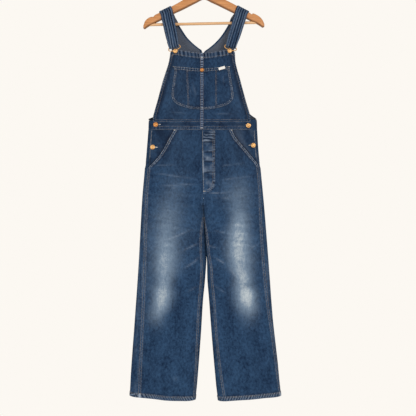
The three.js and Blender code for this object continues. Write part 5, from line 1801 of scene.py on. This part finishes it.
def tack_stitches():
    """Bar tacks, and the keyhole buttonholes at the side openings."""
    runs = []
    for i in range(len(BARTACKS["x"])):
        half = BARTACKS["length"][i] / 2
        x = BARTACKS["x"][i] + np.linspace(-half, half, 8)
        z = np.full(x.shape, BARTACKS["z"][i])
        points, normals = front_line(x, z, BARTACKS["lift"][i])
        runs.append(cross_run(points, normals, 0.9))
    tacks = stitches("stitches_bartacks", runs, THREAD_LIGHT, 3.0, 0.45)
    runs = []
    for i in range(len(BUTTONHOLES["x1"])):
        x1 = BUTTONHOLES["x1"][i]
        x2 = BUTTONHOLES["x2"][i]
        z = BUTTONHOLES["z"][i]
        x, height = polyline([(x1, z + BUTTONHOLE_HALF), (x2, z), (x1, z - BUTTONHOLE_HALF)], 1.0)
        points, normals = front_line(x, height, BUTTONHOLES["lift"][i])
        runs.append(cross_run(points, normals, 0.6))
    stitches("stitches_buttonholes", runs, THREAD_LIGHT, 1.9, 0.42)
    return tacks


# Metal and wood

def tube(name, points, radius, material, node, sides=14):
    """A round wire along a line of points, with rounded ends."""
    count = len(points)
    forward = unit(np.gradient(points, axis=0))
    up = np.array([0.0, 1.0, 0.0])
    frames = []
    for k in range(count):
        up = up - forward[k] * np.dot(up, forward[k])
        up = up / np.linalg.norm(up)
        frames.append((up, np.cross(forward[k], up)))
    angles = np.linspace(0, 2 * math.pi, sides, endpoint=False)
    rings = []
    for k in range(count):
        a, b = frames[k]
        circle = np.cos(angles)[:, None] * a + np.sin(angles)[:, None] * b
        rings.append(points[k] + radius * circle)
    for k, end in ((0, -1), (count - 1, 1)):
        a, b = frames[k]
        circle = np.cos(angles)[:, None] * a + np.sin(angles)[:, None] * b
        cap = points[k] + forward[k] * end * radius * 0.5 + radius * 0.6 * circle
        rings.insert(0, cap) if end < 0 else rings.append(cap)
    vertices = np.concatenate(rings)
    total = len(rings)
    faces = []
    for k in range(total - 1):
        for i in range(sides):
            j = (i + 1) % sides
            faces.append((k * sides + i, k * sides + j, (k + 1) * sides + j, (k + 1) * sides + i))
    faces.append(tuple(range(sides - 1, -1, -1)))
    faces.append(tuple(range((total - 1) * sides, total * sides)))
    obj = new_object(name, vertices, faces, material, 60)
    turn_out(obj)
    return stands_for(obj, node)


BUCKLE_HALF = table("across down level", [
    (0.5, 0, 0),
    (14, 0, 0),
    (19.5, 0.8, 0),
    (21.6, 4.5, 0.5),
    (20.8, 8.5, 0.5),
    (15.5, 11, 1),
    (8, 13, 1),
    (5.4, 17, 1),
])


def buckle(side):
    bar_x, bar_z = STRAPS[side]["bar"]
    tilt = math.radians(STRAPS[side]["bar_tilt"])
    x, z = BIB_BUTTONS[side]
    low = float(skin_at(x, z, WIRE_RADIUS + GAP + 0.2)[1])
    half = np.stack([BUCKLE_HALF["across"], BUCKLE_HALF["down"], BUCKLE_HALF["level"]], axis=1)
    other = half[::-1] * np.array([-1, 1, 1])
    outline = np.concatenate([half, [[0, 22, 1]], other])
    points = np.stack([
        bar_x + outline[:, 0] * math.cos(tilt) + outline[:, 1] * math.sin(tilt),
        BAR_DEPTH + (low - BAR_DEPTH) * outline[:, 2],
        bar_z + outline[:, 0] * math.sin(tilt) - outline[:, 1] * math.cos(tilt),
    ], axis=1)
    return tube("wire_buckle_" + side, spline(points, 0.8), WIRE_RADIUS, BRASS, "buckle_" + side)


def button(name, x, z, radius, seat, neck, material):
    """A sewn-on metal button: a domed disc with a raised rim on a short neck."""
    rim = 2.6
    profile = [
        (0, 0), (2.6, 0), (2.6, neck), (radius - 1, neck), (radius - 0.2, neck + 0.5), (radius, neck + 1.0),
        (radius - 0.1, neck + rim - 0.8), (radius - 0.6, neck + rim - 0.2), (radius - 1.2, neck + rim),
        (radius - 1.9, neck + rim - 0.2), (radius - 2.4, neck + rim - 0.6), (radius * 0.58, neck + rim - 0.7),
        (radius * 0.5, neck + rim - 0.1), (radius * 0.36, neck + rim + 0.3),
        (radius * 0.18, neck + rim + 0.45), (0, neck + rim + 0.5),
    ]
    sides = 40
    vertices = []
    for r, h in profile:
        for i in range(sides):
            angle = 2 * math.pi * i / sides
            reach = max(r, 0.02)
            vertices.append((x + reach * math.cos(angle), seat - GAP - h, z + reach * math.sin(angle)))
    faces = []
    for k in range(len(profile) - 1):
        for i in range(sides):
            j = (i + 1) % sides
            faces.append((k * sides + i, k * sides + j, (k + 1) * sides + j, (k + 1) * sides + i))
    faces.append(tuple(range(sides - 1, -1, -1)))
    faces.append(tuple(range((len(profile) - 1) * sides, len(profile) * sides)))
    obj = new_object("metal_" + name, vertices, faces, material, 50)
    turn_out(obj)
    return stands_for(obj, name)


DARKEST_BUTTON = "button_side_left_upper"


def buttons():
    for side, (x, z) in BIB_BUTTONS.items():
        seat = float(skin_at(x, z)[1])
        button("button_bib_" + side, x, z, BIB_BUTTON_RADIUS, seat, 3.4, BRASS)
    for name, (x, z) in SIDE_BUTTONS.items():
        level = 0 if z > WAIST_BOTTOM else -FACING_DROP
        near = x - math.copysign(2.6, x)
        seat = min(float(skin_at(x, z, level)[1]), float(skin_at(near, z, level)[1]))
        metal = COPPER if name == DARKEST_BUTTON else BRASS
        button(name, x, z, SIDE_BUTTON_RADIUS, seat, 3.6, metal)
    x, z = POCKET_BUTTON
    seat = float(skin_at(x, z, POCKET_LIFT + CLOTH + 2 * GAP + 1)[1])
    button("button_pocket", x, z, POCKET_BUTTON_RADIUS, seat, 0.6, COPPER)


WOOD_SIDES = 40


def hanger_wood():
    x = np.unique(np.concatenate([np.arange(-217.5, 217.6, 2.0), [217.5]]))
    top = along(WOOD, "x", "top", x)
    low = along(WOOD, "x", "low", x)
    half = (top - low) / 2
    middle = (top + low) / 2
    tip = 1 - 0.28 * smooth(206, 217.5, np.abs(x))
    angles = np.linspace(0, 2 * math.pi, WOOD_SIDES, endpoint=False)
    c = np.cos(angles)
    s = np.sin(angles)
    c = np.sign(c) * np.abs(c) ** WOOD_SQUARE
    s = np.sign(s) * np.abs(s) ** WOOD_SQUARE
    round_part = np.minimum(WOOD_HALF_THICKNESS, half)[:, None]
    z = middle[:, None] + (half[:, None] - round_part) * np.sign(np.round(s, 6)) + round_part * s
    y = WOOD_HALF_THICKNESS * tip[:, None] * c
    vertices = np.stack(np.broadcast_arrays(x[:, None], y, z), axis=-1)
    faces = []
    rows = len(x)
    for k in range(rows - 1):
        here = k * WOOD_SIDES
        beyond = here + WOOD_SIDES
        for i in range(WOOD_SIDES):
            j = (i + 1) % WOOD_SIDES
            faces.append((here + i, here + j, beyond + j, beyond + i))
    faces.append(tuple(range(WOOD_SIDES)))
    faces.append(tuple(range(rows * WOOD_SIDES - 1, (rows - 1) * WOOD_SIDES - 1, -1)))
    obj = new_object("beech_hanger", vertices.reshape(-1, 3), faces, BEECH, 50)
    # Painted shade share, rising towards the underside of the wood.
    under = np.zeros(vertices.shape)
    under[..., 0] = smooth(0.3, 0.8, -s)
    set_vector(obj, "under", under)
    turn_out(obj)
    stands_for(obj, "hanger_wood")


def hanger_bar():
    ends = [np.array([x, 0.0, z]) for x, z in ROD_ENDS]
    points = np.array([ends[0] + (ends[1] - ends[0]) * t for t in np.linspace(0, 1, 24)])
    tube("beech_bar", points, ROD_RADIUS, BEECH_PALE, "hanger_bar", 28)


def hanger_hook():
    radius = HOOK_INNER + HOOK_WIRE
    points = []
    for degrees in np.linspace(-35, 215, 13):
        angle = math.radians(degrees)
        points.append((-radius * math.cos(angle), 0, -HOOK_INNER + radius * math.sin(angle)))
    points += [(8, 0, HOOK_SHANK_TOP + 7), (0.8, 0, HOOK_SHANK_TOP)]
    points += [(0, 0, HOOK_SHANK_TOP - 8), (0, 0, HOOK_SHANK_END)]
    tube("steel_hook", spline(np.array(points, float), 1.2), HOOK_WIRE, STEEL, "hanger_hook", 20)


# Camera, floor and lights, in metres: each light's place, target, size and power
CAMERA_LENS = 54.07
CAMERA_SENSOR = 36.0
CAMERA_PLACE = (0.0149, -2.25, -0.8496)
FLOOR_HEIGHT = -2.11
FLOOR_RADIUS = 1.5
FLOOR_SIDES = 64
LIGHT_COLOUR = (1.0, 0.97, 0.93)
LIGHTS = {
    "key": ((1.5, -3.2, -0.1), (0.0, 0.0, -0.9), 1.0, 85),
    "fill": ((-1.8, -2.4, -1.1), (0.0, 0.0, -0.95), 1.2, 46),
}


def camera():
    data = bpy.data.cameras.new("camera")
    data.lens = CAMERA_LENS
    data.sensor_width = CAMERA_SENSOR
    obj = bpy.data.objects.new("camera", data)
    obj.location = CAMERA_PLACE
    obj.rotation_euler = (math.radians(90), 0, 0)
    bpy.context.scene.collection.objects.link(obj)
    bpy.context.scene.camera = obj


def look_at(obj, target):
    direction = np.array(target) - np.array(obj.location)
    flat = math.hypot(direction[0], direction[1])
    turn = math.atan2(direction[1], direction[0]) - math.pi / 2
    obj.rotation_euler = (math.atan2(flat, -direction[2]), 0, turn)


def area_light(name, place, target, size, power):
    data = bpy.data.lights.new(name, "AREA")
    data.size = size
    data.energy = power
    data.color = LIGHT_COLOUR
    obj = bpy.data.objects.new(name, data)
    obj.location = place
    bpy.context.scene.collection.objects.link(obj)
    look_at(obj, target)


def surroundings():
    world = bpy.data.worlds.new("studio")
    world.use_nodes = True
    background = world.node_tree.nodes["Background"]
    background.inputs["Color"].default_value = srgb(252, 248, 242)
    background.inputs["Strength"].default_value = 1.0
    bpy.context.scene.world = world
    bpy.context.scene.view_settings.view_transform = "Standard"
    for name, light in LIGHTS.items():
        area_light(name, *light)
    circle = []
    for i in range(FLOOR_SIDES):
        angle = 2 * math.pi * i / FLOOR_SIDES
        circle.append((FLOOR_RADIUS * math.cos(angle), FLOOR_RADIUS * math.sin(angle), FLOOR_HEIGHT))
    mesh = bpy.data.meshes.new("floor")
    mesh.from_pydata(circle, [], [tuple(range(FLOOR_SIDES))])
    g = Graph("floor_pale")
    g.surface(srgb(176, 173, 168), 0.9)
    mesh.materials.append(g.material)
    floor = bpy.data.objects.new("floor", mesh)
    bpy.context.scene.collection.objects.link(floor)


def garment():
    cloth = {}
    for side in ("left", "right"):
        cloth["leg_front_" + side] = leg_front(side)
        cloth["leg_back_" + side] = leg_back(side)
        cloth["pocket_facing_" + side] = pocket_facing(side)
        cloth["bib_" + side] = bib_half(side)
        cloth["back_high_" + side] = high_back(side)
        cloth["strap_" + side] = strap(side)
        buckle(side)
    cloth["waistband_front"] = waistband()
    cloth["bib_pocket"] = bib_pocket()
    cloth["bib_centre_strip"] = centre_strip()
    cloth["fly_placket"] = fly_placket()
    cloth["label"] = blank_label()
    return cloth


camera()
cloth_pieces = garment()
seam_stitches()
slant_stitches()
band_stitches()
pocket_stitches()
fly_stitches()
strip_stitches()
back_stitches()
strap_stitches()
tack_stitches()
buttons()
hanger_wood()
hanger_bar()
hanger_hook()
surroundings()
